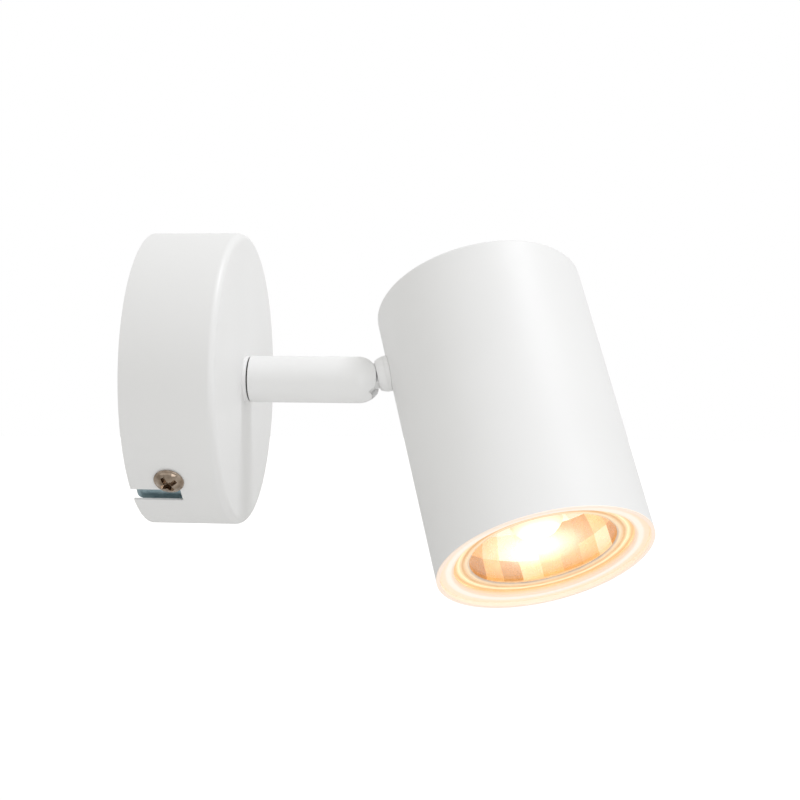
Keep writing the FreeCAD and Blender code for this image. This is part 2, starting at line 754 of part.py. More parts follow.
def stem_sweep(name):
    """Space that the stem's back face passes through as the head tilts up."""
    far = dim.arm_radius * 2
    pivot, reach, back = pivot_depth, dim.cheek_reach, dim.slot_back
    block = box(f"{name}_block", (-far, -far, pivot - back), (far, far, pivot + far))
    kept = [
        cylinder(f"{name}_nose", reach, far * 2, (-far, 0, pivot), "x"),
        box(f"{name}_rear", (-far, -far, pivot - back), (far, reach, pivot)),
        box(f"{name}_chin", (-far, -far, pivot - back), (far, 0, pivot + reach)),
    ]
    return cut(name, block, *kept)


def trunnion_bore(name, side):
    radius = dim.trunnion_radius + dim.fit
    depth = dim.trunnion_reach + 0.2 - dim.slot_half
    place = (dim.slot_half * side, 0, pivot_depth)
    return cylinder(name, radius, depth, place, "x" if side > 0 else "-x")


def arm_tube():
    far = dim.arm_radius * 2
    back = pivot_depth - dim.slot_back
    slot_low = (-dim.slot_half, -dim.slot_back, back)
    tools = [
        cylinder("arm_hollow", arm_bore, hollow_end - arm_start, (0, 0, arm_start)),
        cylinder("arm_wire_way", dim.lead_radius + 0.4, back - hollow_end, (0, 0, hollow_end)),
        box("tongue_slot", slot_low, (dim.slot_half, far, pivot_depth + far)),
        stem_sweep("arm_sweep"),
        cheek_box("cheek_space", 0),
        trunnion_bore("near_trunnion_bore", -1),
        cylinder("cheek_screw_bore", cheek_screw_hole, dim.slot_half - cheek_screw_end,
                 (cheek_screw_end,) + cheek_screw_line, "x"),
    ]
    node("arm_tube", arm, cut("arm_tube_cut", arm_blank("arm_blank"), *tools))


def knuckle_cheek():
    body = common("cheek_body", arm_blank("cheek_blank"), cheek_box("cheek_limits", dim.seat))
    tools = [
        stem_sweep("cheek_sweep"),
        trunnion_bore("far_trunnion_bore", 1),
        cylinder("cheek_screw_way", cheek_screw_hole, dim.arm_radius, (0,) + cheek_screw_line, "x"),
        cylinder("cheek_counterbore", dim.cheek_head_radius + dim.fit, dim.arm_radius,
                 (cheek_screw_seat,) + cheek_screw_line, "x"),
    ]
    node("knuckle_cheek", arm, cut("knuckle_cheek_cut", body, *tools))


def knuckle_cheek_screw():
    length = cheek_screw_seat - cheek_screw_end
    tip = (cheek_screw_end,) + cheek_screw_line
    shank = cylinder("cheek_shank", dim.cheek_screw_radius, length, tip, "x")
    place = (cheek_screw_seat,) + cheek_screw_line
    screw_head = cylinder("cheek_screw_head", dim.cheek_head_radius, dim.cheek_head_height, place, "x")
    floor = cheek_screw_seat + dim.cheek_head_height - dim.cheek_socket_depth
    socket = cylinder("cheek_screw_socket", dim.cheek_socket_radius, dim.cheek_socket_depth,
                      (floor,) + cheek_screw_line, "x")
    screw = fuse("cheek_screw", shank, screw_head)
    node("knuckle_cheek_screw", arm, cut("cheek_screw_cut", screw, socket))


def hinge_washers():
    washers = []
    bore = dim.trunnion_radius + 2 * dim.fit
    for side in (-1, 1):
        start = dim.tongue_half + dim.fit if side > 0 else -dim.tongue_half - dim.fit - dim.hinge_washer
        washer = ring("hinge_washer", dim.tongue_radius - 0.4, bore, dim.hinge_washer, start, "x")
        washers.append(move_to(washer, (0, 0, pivot_depth)))
    node("hinge_washers", arm, *washers)


def arm_bush():
    body = ring("bush_ring", arm_bore - dim.seat, dim.thread_radius + dim.fit, dim.bush_length, arm_start)
    hole = cylinder("stop_hole", dim.stop_radius + dim.seat, dim.arm_radius, (0, 0, bush_middle), "y")
    node("arm_bush", arm, cut("arm_bush_cut", body, hole))
    length = arm_bore - dim.fit - stop_reach
    pin = cylinder("stop_pin", dim.stop_radius, length, (0, stop_reach, bush_middle), "y")
    node("swivel_stop_pin", arm, pin)


def lead_end_gap():
    """Clear length that lets the lead's two parts fold about the hinge axis."""
    return dim.lead_radius + dim.play


def arm_lead():
    points = [(0, 0, nipple_start - 2), (0, 0, pivot_depth - lead_end_gap())]
    node("arm_lead", arm, lead("arm_lead_run", dim.lead_radius, points))


def head_cylinder(name, radius):
    """The head's round wall as the stem's frame sees it."""
    far = head_radius
    return cylinder(name, radius, far * 2, (0, -far, stem_reach), "y")


def hinge_stem():
    half, way = dim.tongue_half, wire_way
    disc = cylinder("tongue_disc", dim.tongue_radius, half * 2, (-half, 0, 0), "x")
    neck = box("tongue_neck", (-half, -dim.tongue_neck, 0), (half, dim.tongue_neck, dim.stem_start + 1))
    reach = dim.trunnion_reach
    trunnions = cylinder("trunnions", dim.trunnion_radius, reach * 2, (-reach, 0, 0), "x")
    flare_end = dim.stem_length - dim.saddle_thick
    spigot_end = head_inside + dim.spigot_length - dim.head_wall
    spigot = dim.thread_radius - dim.seat
    body = turned("stem_turned", [
        (0, dim.stem_start),
        (dim.stem_radius, dim.stem_start, (size(6), 1)),
        (dim.stem_flare, flare_end),
        (spigot, flare_end),
        (spigot, spigot_end),
        (0, spigot_end),
    ])
    gap = lead_end_gap()
    tools = [
        cylinder("stem_wire_way", way, spigot_end, (0, 0, 0)),
        box("tongue_wire_way", (-way, -gap, -dim.arm_radius), (way, dim.arm_radius, gap)),
    ]
    blank = fuse("stem_blank", disc, neck, trunnions, body)
    node("hinge_stem", stem, cut("hinge_stem_cut", blank, *tools))


def saddle_rings():
    bore = dim.thread_radius + dim.fit
    start = dim.stem_length - dim.saddle_thick
    outer = ring("saddle_blank", dim.stem_flare, bore, dim.saddle_thick + 1, start)
    wall_outside = head_cylinder("head_outside", head_radius + dim.seat)
    node("stem_saddle_ring", stem, cut("saddle_ring_cut", outer, wall_outside))
    thick = dim.inner_saddle + 0.5
    inner = ring("inner_blank", dim.inner_saddle_radius, thread_hole, thick, strip_start - thick)
    wall_inside = head_cylinder("head_inside", head_bore - dim.seat)
    node("inner_saddle_washer", stem, common("inner_saddle_common", inner, wall_inside))


def stem_fasteners():
    split_washer("stem_lock_washer", stem, stem_lock_start)
    nut = hex_nut("stem_hex", dim.nut_flats, dim.thread_radius, dim.stem_nut_thick, stem_nut_start)
    node("stem_nut", stem, nut)


def head_shell():
    radius, length, thick, edge = head_radius, head_length, dim.head_wall, dim.head_edge
    shell = turned("head_turned", [
        (head_bore, 0),
        (radius, 0),
        (radius, length - edge, (edge, 1)),
        (radius - edge, length),
        (0, length),
        (0, length - thick),
        (head_bore, length - thick),
    ])
    hole = cylinder("stem_hole", thread_hole, radius, (0, radius / 2, stem_height), "y")
    node("head_shell", head, cut("head_shell_cut", shell, hole))


def retaining_ring():
    bevel = 0.4
    ring_bore = dim.lamp_radius - dim.ring_cover
    low, high = dim.ring_recess, dim.ring_recess + dim.ring_thick
    body = turned("retaining_turned", [
        (ring_bore + bevel, low),
        (head_bore - dim.seat, low),
        (head_bore - dim.seat, high),
        (ring_bore, high),
        (ring_bore, low + bevel),
    ])
    node("retaining_ring", head, body)


def lampholder_bracket():
    near = stem_reach - strip_start
    inner = near - dim.holder_strip
    half = dim.holder_strip_width / 2
    low = stem_height - 7
    far_end = -dim.holder_screw_offset - 4
    leg = box("bracket_leg", (-half, inner, low), (half, near, strip_top))
    shelf = box("bracket_shelf", (-half, far_end, holder_end), (half, near, strip_top))
    holes = [cylinder("bracket_stem_hole", thread_hole, near, (0, inner / 2, stem_height), "y")]
    for place in ((0, 0), (0, lead_run)):
        holes.append(cylinder("bracket_wire_hole", dim.lead_radius + 0.8, dim.holder_strip,
                              place + (holder_end,)))
    for side in (-1, 1):
        place = (0, dim.holder_screw_offset * side, holder_end)
        radius = dim.holder_screw_radius + dim.fit
        holes.append(cylinder("bracket_screw_hole", radius, dim.holder_strip, place))
    node("lampholder_bracket", head, cut("bracket_cut", fuse("bracket_form", leg, shelf), *holes))


def lampholder_screws():
    screws = []
    reach = dim.holder_strip + 6
    for side in (-1, 1):
        across = dim.holder_screw_offset * side
        shank = cylinder("holder_shank", dim.holder_screw_radius, reach, (0, across, strip_top - reach))
        screw_head = cylinder("holder_head", dim.holder_screw_radius * 1.8, 1.8, (0, across, strip_top))
        socket_low = (-3, across - 0.35, strip_top + 1)
        socket_high = (3, across + 0.35, strip_top + 1.8)
        screw = fuse("holder_screw", shank, screw_head)
        screws.append(cut("holder_screw_cut", screw, box("holder_slot", socket_low, socket_high)))
    node("lampholder_screws", head, *screws)


def around(radius, angle):
    turn = math.radians(angle)
    return radius * math.cos(turn), radius * math.sin(turn)


def locked_pins():
    """Places of the pins at the locked end of their slots, where the photo's lamp sits."""
    twist = dim.lamp_twist.number
    return [around(dim.pin_offset, angle) for angle in (twist, 180 + twist)]


def arc_slot(name, half_width, start_angle, low, height):
    """Slot about the lamp's axis that a pin follows as the lamp turns."""
    outer = cylinder(f"{name}_outer", dim.pin_offset + half_width, height)
    outer.Angle = dim.lamp_twist.number
    sector = cut(f"{name}_sector", outer, cylinder(f"{name}_inner", dim.pin_offset - half_width, height))
    move_to(sector, (0, 0, low))
    sector.Placement.Rotation = Rotation(Vector(0, 0, 1), start_angle)
    ends = []
    for angle in (start_angle, start_angle + dim.lamp_twist.number):
        place = around(dim.pin_offset, angle) + (low,)
        ends.append(cylinder(f"{name}_end", half_width, height, place))
    return [sector] + ends


def lampholder():
    body = cylinder("holder_body", dim.holder_radius, dim.holder_height, (0, 0, holder_start))
    cavity_start = holder_start + dim.holder_lip
    hollows = []
    for start_angle in (0, 180):
        neck = dim.pin_neck + dim.play
        wide = dim.pin_head + dim.play
        hollows += arc_slot("lip_slot", neck, start_angle, holder_start, dim.holder_lip)
        hollows += arc_slot("cavity", wide, start_angle, cavity_start, dim.holder_cavity)
        entry = around(dim.pin_offset, start_angle) + (holder_start,)
        hollows.append(cylinder("pin_entry", wide, dim.holder_lip, entry))
    for side in (-1, 1):
        reach = dim.holder_screw_radius * 4 + 1
        place = (0, dim.holder_screw_offset * side, holder_end - reach)
        hollows.append(cylinder("screw_hole", dim.holder_screw_radius + dim.fit, reach, place))
    node("lampholder", head, cut("lampholder_cut", body, *hollows))


def lampholder_contacts():
    ceiling = holder_start + dim.holder_lip + dim.holder_cavity
    pin_tip = base_end + dim.pin_neck_length + dim.pin_head_length
    contacts = []
    low = pin_tip + dim.play
    for place in locked_pins():
        contacts.append(cylinder("contact", dim.pin_head - dim.play, ceiling - low, place + (low,)))
    node("lampholder_contacts", head, *contacts)


def head_lead():
    top = head_length - dim.head_wall - 2 * dim.lead_radius - 0.8
    points = [
        (0, stem_reach - lead_end_gap(), stem_height),
        (0, lead_run, stem_height),
        (0, lead_run, top),
        (0, 0, top),
        (0, 0, holder_end),
    ]
    spigot_tip = stem_reach - head_inside - dim.spigot_length + dim.head_wall
    first = min((spigot_tip - lead_run).number, 0.45 * (top - stem_height).number)
    last = (top - holder_end).number * 0.65
    node("head_lead", head, lead("head_lead_run", dim.lead_radius, points, (first, first, last)))


def lamp_pieces():
    rim, glass = dim.lamp_radius, glass_radius
    soft = 0.8
    rim_body = turned("lamp_rim_turned", [
        (glass + dim.seat, lamp_start + soft),
        (glass + dim.seat + soft, lamp_start),
        (rim - soft, lamp_start, (size(soft), 1)),
        (rim, lamp_start + soft),
        (rim, reflector_start),
        (glass + dim.seat, reflector_start),
    ])
    node("lamp_rim", head, rim_body)
    glass_low = lamp_start + dim.glass_recess
    node("lamp_front_glass", head, cylinder("glass_disc", glass, dim.glass_thick, (0, 0, glass_low)))
    wall_thick = dim.reflector_wall
    hole = dim.dome_radius + dim.dome_space
    reflector_top = base_start
    bowl = turned("reflector_turned", [
        (glass - 0.3, reflector_start),
        (rim - 1, reflector_start, (size(34), 1)),
        (dim.reflector_neck, reflector_top - 4),
        (dim.reflector_neck, reflector_top),
        (hole, reflector_top),
        (hole, reflector_top - wall_thick * 2, (size(27), -1)),
    ])
    node("lamp_reflector", head, bowl)
    dome_low = base_start - dim.dome_length
    crown = dim.dome_radius / 2
    bow = (dim.dome_radius * dim.dome_radius + crown * crown) / (crown * 2)
    dome = turned("dome_turned", [
        (0, dome_low, (bow, 1)),
        (dim.dome_radius, dome_low + crown),
        (dim.dome_radius, base_start),
        (0, base_start),
    ])
    node("lamp_dome", head, dome)
    base = turned("lamp_base_turned", [
        (0, base_start),
        (dim.reflector_neck, base_start),
        (dim.reflector_neck + 0.5, base_start + 1),
        (dim.lamp_base_end, base_end),
        (0, base_end),
    ])
    node("lamp_base", head, base)
    pins = []
    tip_start = base_end + dim.pin_neck_length
    for place in locked_pins():
        neck = cylinder("pin_neck", dim.pin_neck, dim.pin_neck_length, place + (base_end,))
        tip = cylinder("pin_head", dim.pin_head, dim.pin_head_length, place + (tip_start,))
        pins.append(fuse("lamp_pin", neck, tip))
    node("lamp_pins", head, *pins)


def build():
    wall_bracket()
    cable_grommet()
    terminal_block()
    terminal_sleeves()
    terminal_screws()
    terminal_fixing_screw()
    wall_canopy()
    canopy_screws()
    earth_tag()
    swivel_nipple()
    swivel_fixed_pieces()
    wall_leads()
    arm_tube()
    knuckle_cheek()
    knuckle_cheek_screw()
    hinge_washers()
    arm_bush()
    arm_lead()
    hinge_stem()
    saddle_rings()
    stem_fasteners()
    head_shell()
    retaining_ring()
    lampholder_bracket()
    lampholder_screws()
    lampholder()
    lampholder_contacts()
    head_lead()
    lamp_pieces()


def check():
    for item in doc.Objects:
        if "Invalid" in item.State or "Error" in item.State:
            raise RuntimeError(f"{item.Name} failed: {item.State}")
    for piece in nodes:
        if piece.Shape.isNull() or not piece.Shape.isValid() or piece.Shape.Volume <= 0:
            raise RuntimeError(f"{piece.Label} has no valid shape")


def write():
    os.makedirs("parts", exist_ok=True)
    for piece in nodes:
        piece.Shape.exportStep(f"parts/{piece.Label}.step")
        print(f"{piece.Label}: {len(piece.Shape.Solids)} solids, {piece.Shape.Volume:.1f} mm3")


build()
doc.recompute()
check()
write()
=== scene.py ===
"""Looks of the pivoting spotlight wall light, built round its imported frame."""

import json
import logging
import math
import random
from dataclasses import dataclass, field
from enum import Enum

import bmesh
import bpy
from bmesh.types import BMesh, BMFace
from bpy.types import Material, Node, NodeSocket, Object
from mathutils import Matrix, Vector


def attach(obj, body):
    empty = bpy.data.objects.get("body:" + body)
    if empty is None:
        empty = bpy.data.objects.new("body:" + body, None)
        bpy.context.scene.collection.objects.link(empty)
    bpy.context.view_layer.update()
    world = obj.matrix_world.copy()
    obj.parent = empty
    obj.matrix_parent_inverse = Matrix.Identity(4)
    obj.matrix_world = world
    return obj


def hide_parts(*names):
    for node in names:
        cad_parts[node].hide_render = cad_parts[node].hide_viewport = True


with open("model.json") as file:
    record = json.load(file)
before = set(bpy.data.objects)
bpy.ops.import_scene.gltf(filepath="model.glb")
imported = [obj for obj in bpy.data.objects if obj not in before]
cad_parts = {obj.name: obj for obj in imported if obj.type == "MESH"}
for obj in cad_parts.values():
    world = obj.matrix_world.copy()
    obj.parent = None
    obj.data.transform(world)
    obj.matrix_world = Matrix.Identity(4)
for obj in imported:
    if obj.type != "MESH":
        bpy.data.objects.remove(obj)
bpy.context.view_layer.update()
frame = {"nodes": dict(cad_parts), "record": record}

LOG = logging.getLogger("spotlight")
MM = 0.001
CREASE = 32.0
SOFT_EDGE = 0.12

Profile = list[tuple[float, float]]
Colour = tuple[float, float, float]
Stops = tuple[tuple[float, Colour], ...]


def turned(axis: str, degrees: float) -> Matrix:
    """Rotation about one axis."""
    return Matrix.Rotation(math.radians(degrees), 4, axis)


def moved(x: float, y: float, z: float) -> Matrix:
    """Shift in millimetres."""
    return Matrix.Translation((x, y, z))


@dataclass(frozen=True)
class Stance:
    """Angles and distances that place the light's parts at rest, in millimetres and degrees."""

    strap_angle: float = 41.0
    swivel: float = 30.0
    tilt: float = 15.0
    pivot_depth: float = 56.3
    stem_reach: float = 37.2
    stem_height: float = 64.0

    def wall(self) -> Matrix:
        """Frame of the wall pieces: x along the strap, z out of the wall."""
        return turned("Y", 180 - self.strap_angle) @ turned("X", 90)

    def stem(self) -> Matrix:
        """Frame at the hinge that tilts with the head, before its z axis is turned outwards."""
        hinge = moved(0, -self.pivot_depth, 0)
        return hinge @ turned("Y", self.swivel) @ turned("X", -self.tilt)

    def head(self) -> Matrix:
        """Frame of the head: z runs from the rim to the closed top."""
        return self.stem() @ moved(0, -self.stem_reach, -self.stem_height)


STANCE = Stance()


class Graph:
    """Node tree of one material, with short calls for the nodes that the finishes share."""

    def __init__(self, name: str) -> None:
        """Start an empty tree.

        Args:
            name: The material's name.
        """
        self.material = bpy.data.materials.new(name)
        self.material.use_nodes = True
        self.nodes = self.material.node_tree.nodes
        self.links = self.material.node_tree.links
        self.nodes.clear()
        self.coordinates = self.add("ShaderNodeTexCoord").outputs["Object"]

    def add(self, kind: str, inputs: dict | None = None, **settings: object) -> Node:
        """Make a node, set it up and link it.

        Args:
            kind: The node's type.
            inputs: Values or sockets by input name or number.
            settings: Properties of the node.

        Returns:
            The new node.
        """
        node = self.nodes.new(kind)
        for name, value in settings.items():
            setattr(node, name, value)
        for name, value in (inputs or {}).items():
            if isinstance(value, NodeSocket):
                self.links.new(value, node.inputs[name])
            else:
                node.inputs[name].default_value = value
        return node

    def noise(self, scale: float, detail: float) -> NodeSocket:
        """Noise of so many lumps to the metre."""
        inputs = {"Vector": self.coordinates, "Scale": scale, "Detail": detail}
        return self.add("ShaderNodeTexNoise", inputs).outputs["Fac"]

    def span(self, value: NodeSocket, low: float, high: float, start: float = 0.0,
             end: float = 1.0) -> NodeSocket:
        """Map a value that runs from start to end onto low to high."""
        inputs = {"Value": value, "From Min": start, "From Max": end, "To Min": low, "To Max": high}
        return self.add("ShaderNodeMapRange", inputs).outputs["Result"]

    def uneven(self, scale: float, detail: float, low: float, high: float) -> NodeSocket:
        """Noise that runs from low to high."""
        return self.span(self.noise(scale, detail), low, high)

    def shade(self, value: NodeSocket, stops: Stops) -> NodeSocket:
        """Send a value through a colour ramp.

        Args:
            value: The value, from 0 to 1.
            stops: Place and colour of each stop.

        Returns:
            The colour.
        """
        node = self.add("ShaderNodeValToRGB", {"Fac": value})
        elements = node.color_ramp.elements
        while len(elements) < len(stops):
            elements.new(0.5)
        for element, (place, colour) in zip(elements, stops):
            element.position = place
            element.color = (*colour, 1.0)
        return node.outputs["Color"]

    def maths(self, operation: str, *values: NodeSocket | float) -> NodeSocket:
        """One sum of one or two values."""
        return self.add("ShaderNodeMath", dict(enumerate(values)), operation=operation).outputs[0]

    def bump(self, height: NodeSocket, depth: float, normal: NodeSocket | None = None) -> NodeSocket:
        """Press a relief into the surface.

        Args:
            height: The relief, from 0 to 1.
            depth: Its depth in millimetres.
            normal: The normal that it starts from.

        Returns:
            The new normal.
        """
        inputs = {"Height": height, "Distance": depth * MM, "Strength": 1.0}
        if normal:
            inputs["Normal"] = normal
        return self.add("ShaderNodeBump", inputs).outputs["Normal"]

    def soft_edge(self, radius: float) -> NodeSocket:
        """Normal that rounds every edge by a radius in millimetres."""
        return self.add("ShaderNodeBevel", {"Radius": radius * MM}, samples=6).outputs["Normal"]

    def on_axis(self, place: Matrix) -> NodeSocket:
        """Turn the coordinates into those of a piece's own frame.

        Args:
            place: The frame, in millimetres.

        Returns:
            The coordinates in that frame, in metres.
        """
        inputs = {
            "Vector": self.coordinates,
            "Location": place.translation * MM,
            "Rotation": place.to_euler(),
        }
        return self.add("ShaderNodeMapping", inputs, vector_type="TEXTURE").outputs["Vector"]

    def radius(self, where: NodeSocket) -> NodeSocket:
        """Measure how far coordinates lie from their z axis.

        Args:
            where: The coordinates, in metres.

        Returns:
            The distance, in metres.
        """
        flat = self.add("ShaderNodeVectorMath", {0: where, 1: (1, 1, 0)}, operation="MULTIPLY")
        length = self.add("ShaderNodeVectorMath", {0: flat.outputs[0]}, operation="LENGTH")
        return length.outputs["Value"]

    def across(self, place: Matrix, start: float, end: float) -> NodeSocket:
        """Share of the way from one radius to another, in millimetres round a frame's z axis."""
        return self.span(self.radius(self.on_axis(place)), 0.0, 1.0, start * MM, end * MM)

    def finish(self, shader: Node) -> Material:
        """Send a shader to the output."""
        self.add("ShaderNodeOutputMaterial", {"Surface": shader.outputs[0]})
        return self.material

    def surface(self, inputs: dict) -> Material:
        """Finish the material with one shader that has the given inputs."""
        return self.finish(self.add("ShaderNodeBsdfPrincipled", inputs))


@dataclass(frozen=True)
class PowderCoat:
    """Satin powder coat on sheet metal: a faint cloud, a fine orange peel and softened edges."""

    name: str
    colour: Colour
    roughness: float = 0.42
    edge: float = 0.15
    cloud: float = 0.985

    def coat(self, graph: Graph) -> dict:
        """Make the paint's nodes.

        Args:
            graph: The material's tree.

        Returns:
            The shader's inputs.
        """
        dark = tuple(part * self.cloud for part in self.colour)
        peel = graph.bump(graph.noise(1500, 2), 0.006, graph.soft_edge(self.edge))
        return {
            "Base Color": graph.shade(graph.noise(35, 3), ((0.35, dark), (0.65, self.colour))),
            "Roughness": graph.uneven(240, 4, self.roughness - 0.04, self.roughness + 0.04),
            "IOR": 1.5,
            "Normal": graph.bump(graph.noise(4200, 3), 0.003, peel),
        }

    def material(self) -> Material:
        """Build the node material."""
        graph = Graph(self.name)
        return graph.surface(self.coat(graph))


@dataclass(frozen=True)
class PaintedSpillCoat(PowderCoat):
    """Powder coat with painted light: a warm emission stands in for the lamp's spill on the rim's face and
    on the wall inside it.
    """

    spill: Stops = ((0.0, (0.32, 0.165, 0.05)), (28.2, (0.32, 0.165, 0.05)))
    lit_within: float = 28.2
    lit_depth: float = 8.0
    rim_depth: float = 0.2
    place: Matrix = field(default_factory=STANCE.head)

    def painted_spill_zone(self, graph: Graph) -> NodeSocket:
        """Find where the painted lamp light goes.

        Args:
            graph: The material's tree.

        Returns:
            One on the rim's face and the wall inside it, zero elsewhere.
        """
        where = graph.on_axis(self.place)
        height = graph.add("ShaderNodeSeparateXYZ", {0: where}).outputs["Z"]
        inside = graph.maths("LESS_THAN", graph.radius(where), self.lit_within * MM)
        near_mouth = graph.maths("LESS_THAN", height, self.lit_depth * MM)
        at_wall = graph.maths("MULTIPLY", inside, near_mouth)
        at_rim = graph.maths("LESS_THAN", height, self.rim_depth * MM)
        return graph.maths("MAXIMUM", at_wall, at_rim)

    def material(self) -> Material:
        """Build the node material.

        Returns:
            The finished material.
        """
        graph = Graph(self.name)
        first, last = self.spill[0][0], self.spill[-1][0]
        band = graph.maths("ADD", graph.across(self.place, first, last), graph.uneven(90, 2, -0.05, 0.05))
        stops = tuple(((radius - first) / (last - first), glow) for radius, glow in self.spill)
        return graph.surface(self.coat(graph) | {
            # Painted light: warm emission standing in for the lamp's spill on the wall and the rim's face.
            "Emission Color": graph.shade(band, stops),
            "Emission Strength": self.painted_spill_zone(graph),
        })


class Working(Enum):
    """How a metal surface was worked: lumps to the metre and depth of its grain in millimetres."""

    ROLLED = (900.0, 0.004)
    PLATED = (420.0, 0.0015)
    TURNED = (2600.0, 0.003)


@dataclass(frozen=True)
class BareMetal:
    """Plated or turned metal, with a mottled colour and an uneven shine; on the nickel screws the colour and
    mottle are painted reflections.
    """

    name: str
    colour: Colour
    mottle_and_reflection: Colour
    roughness: float
    working: Working

    def material(self) -> Material:
        """Build the node material.

        Returns:
            The finished material.
        """
        graph = Graph(self.name)
        scale, depth = self.working.value
        return graph.surface({
            "Base Color": graph.shade(graph.noise(450, 4), ((0.3, self.mottle_and_reflection), (0.7, self.colour))),
            "Metallic": 1.0,
            "Roughness": graph.uneven(700, 4, self.roughness * 0.75, self.roughness * 1.3),
            "Normal": graph.bump(graph.noise(scale, 4), depth, graph.soft_edge(0.1)),
        })


@dataclass(frozen=True)
class Moulding:
    """Moulded plastic, rubber or ceramic: flow marks or specks under a fine texture."""

    name: str
    colour: Colour
    roughness: float
    texture: float = 0.008
    specks: Colour | None = None

    def material(self) -> Material:
        """Build the node material.

        Returns:
            The finished material.
        """
        graph = Graph(self.name)
        pale = tuple(min(1.0, part * 1.06 + 0.004) for part in self.colour)
        if self.specks:
            tint = graph.shade(graph.noise(900, 3), ((0.22, self.specks), (0.34, self.colour), (0.75, pale)))
        else:
            tint = graph.shade(graph.noise(120, 3), ((0.3, self.colour), (0.7, pale)))
        return graph.surface({
            "Base Color": tint,
            "Roughness": graph.uneven(500, 3, self.roughness - 0.05, self.roughness + 0.05),
            "Normal": graph.bump(graph.noise(2200, 3), self.texture, graph.soft_edge(0.12)),
        })


@dataclass(frozen=True)
class ClearGlass:
    """Pressed front glass with faint waves, and a painted glow, brightest at the centre, that stands in for
    the light source behind it.
    """

    name: str
    radius: float = 21.9
    place: Matrix = field(default_factory=STANCE.head)
    glow: Stops = (
        (0.0, (0.68, 0.63, 0.55)),
        (0.26, (0.40, 0.36, 0.30)),
        (0.52, (0.15, 0.125, 0.09)),
        (0.78, (0.04, 0.028, 0.015)),
        (1.0, (0.012, 0.008, 0.003)),
    )

    def material(self) -> Material:
        """Build the node material, which throws no shadow.

        Returns:
            The finished material.
        """
        graph = Graph(self.name)
        tint = graph.shade(graph.noise(90, 2), ((0.3, (0.97, 0.965, 0.95)), (0.7, (1.0, 1.0, 1.0))))
        glass = graph.add("ShaderNodeBsdfPrincipled", {
            "Base Color": tint,
            "Roughness": 0.0,
            "IOR": 1.48,
            "Transmission Weight": 1.0,
            "Normal": graph.bump(graph.noise(140, 1), 0.02),
            # Painted light: emission brightest at the centre, standing in for the lamp shining through the
            # glass.
            "Emission Color": graph.shade(graph.across(self.place, 0.0, self.radius), self.glow),
            "Emission Strength": 1.0,
        })
        clear = graph.add("ShaderNodeBsdfTransparent")
        lamp_ray = graph.add("ShaderNodeLightPath").outputs["Is Shadow Ray"]
        inputs = {0: lamp_ray, 1: glass.outputs[0], 2: clear.outputs[0]}
        return graph.finish(graph.add("ShaderNodeMixShader", inputs))


@dataclass(frozen=True)
class GlassWithPaintedGlow:
    """Thick glass rim with painted light: emission in pale and dark rings stands in for the lamp's light
    carried to its ridges.
    """

    name: str
    inner: float
    outer: float
    place: Matrix = field(default_factory=STANCE.head)
    painted_ring_glow: Stops = (
        (0.0, (0.42, 0.33, 0.26)),
        (0.14, (0.80, 0.62, 0.42)),
        (0.34, (0.62, 0.37, 0.17)),
        (0.52, (0.95, 0.74, 0.48)),
        (0.72, (0.70, 0.42, 0.20)),
        (0.95, (0.98, 0.80, 0.55)),
    )

    def material(self) -> Material:
        """Build the node material.

        Returns:
            The finished material.
        """
        graph = Graph(self.name)
        across = graph.across(self.place, self.inner, self.outer)
        # Painted light: the ring ramp sets both colour and emission, as glow and highlights along the
        # ridges.
        glow = graph.shade(graph.maths("ADD", across, graph.uneven(260, 3, -0.06, 0.06)), self.painted_ring_glow)
        return graph.surface({
            "Base Color": glow,
            "Roughness": 0.08,
            "IOR": 1.5,
            "Emission Color": glow,
            "Emission Strength": graph.uneven(70, 2, 0.38, 0.64),
            "Normal": graph.bump(graph.noise(300, 2), 0.01),
        })


@dataclass(frozen=True)
class MirrorCoat:
    """Warm reflecting coat with painted reflection and painted light: each facet's own tone stands in for
    what it reflects, and an emission brightest at the neck stands in for the lamp's light.
    """

    name: str
    facet_reflection_tone: str = "facet_reflection_tone"
    neck: float = 7.8
    mouth: float = 21.6
    place: Matrix = field(default_factory=STANCE.head)
    coat_and_reflection_tints: Stops = (
        (0.0, (0.50, 0.26, 0.07)),
        (0.3, (0.78, 0.46, 0.15)),
        (0.58, (0.97, 0.69, 0.36)),
        (0.8, (0.86, 0.79, 0.72)),
        (1.0, (1.0, 0.86, 0.68)),
    )
    spill: Stops = ((0.0, (1.1,) * 3), (0.35, (0.56,) * 3), (1.0, (0.30,) * 3))

    def material(self) -> Material:
        """Build the node material.

        Returns:
            The finished material.
        """
        graph = Graph(self.name)
        facet = graph.add("ShaderNodeAttribute", attribute_name=self.facet_reflection_tone).outputs["Fac"]
        # Painted reflection: each facet's random tone, with pale silver stops, stands in for what the facet
        # reflects, over the coat's warm colour.
        tint = graph.shade(graph.maths("ADD", facet, graph.uneven(420, 3, -0.12, 0.12)), self.coat_and_reflection_tints)
        return graph.surface({
            "Base Color": tint,
            "Metallic": 0.85,
            "Roughness": graph.uneven(600, 3, 0.20, 0.36),
            "Emission Color": tint,
            # Painted light: emission, brightest at the neck, for the lamp's light on the bowl.
            "Emission Strength": graph.shade(graph.across(self.place, self.neck, self.mouth), self.spill),
            "Normal": graph.bump(graph.noise(220, 2), 0.03),
        })


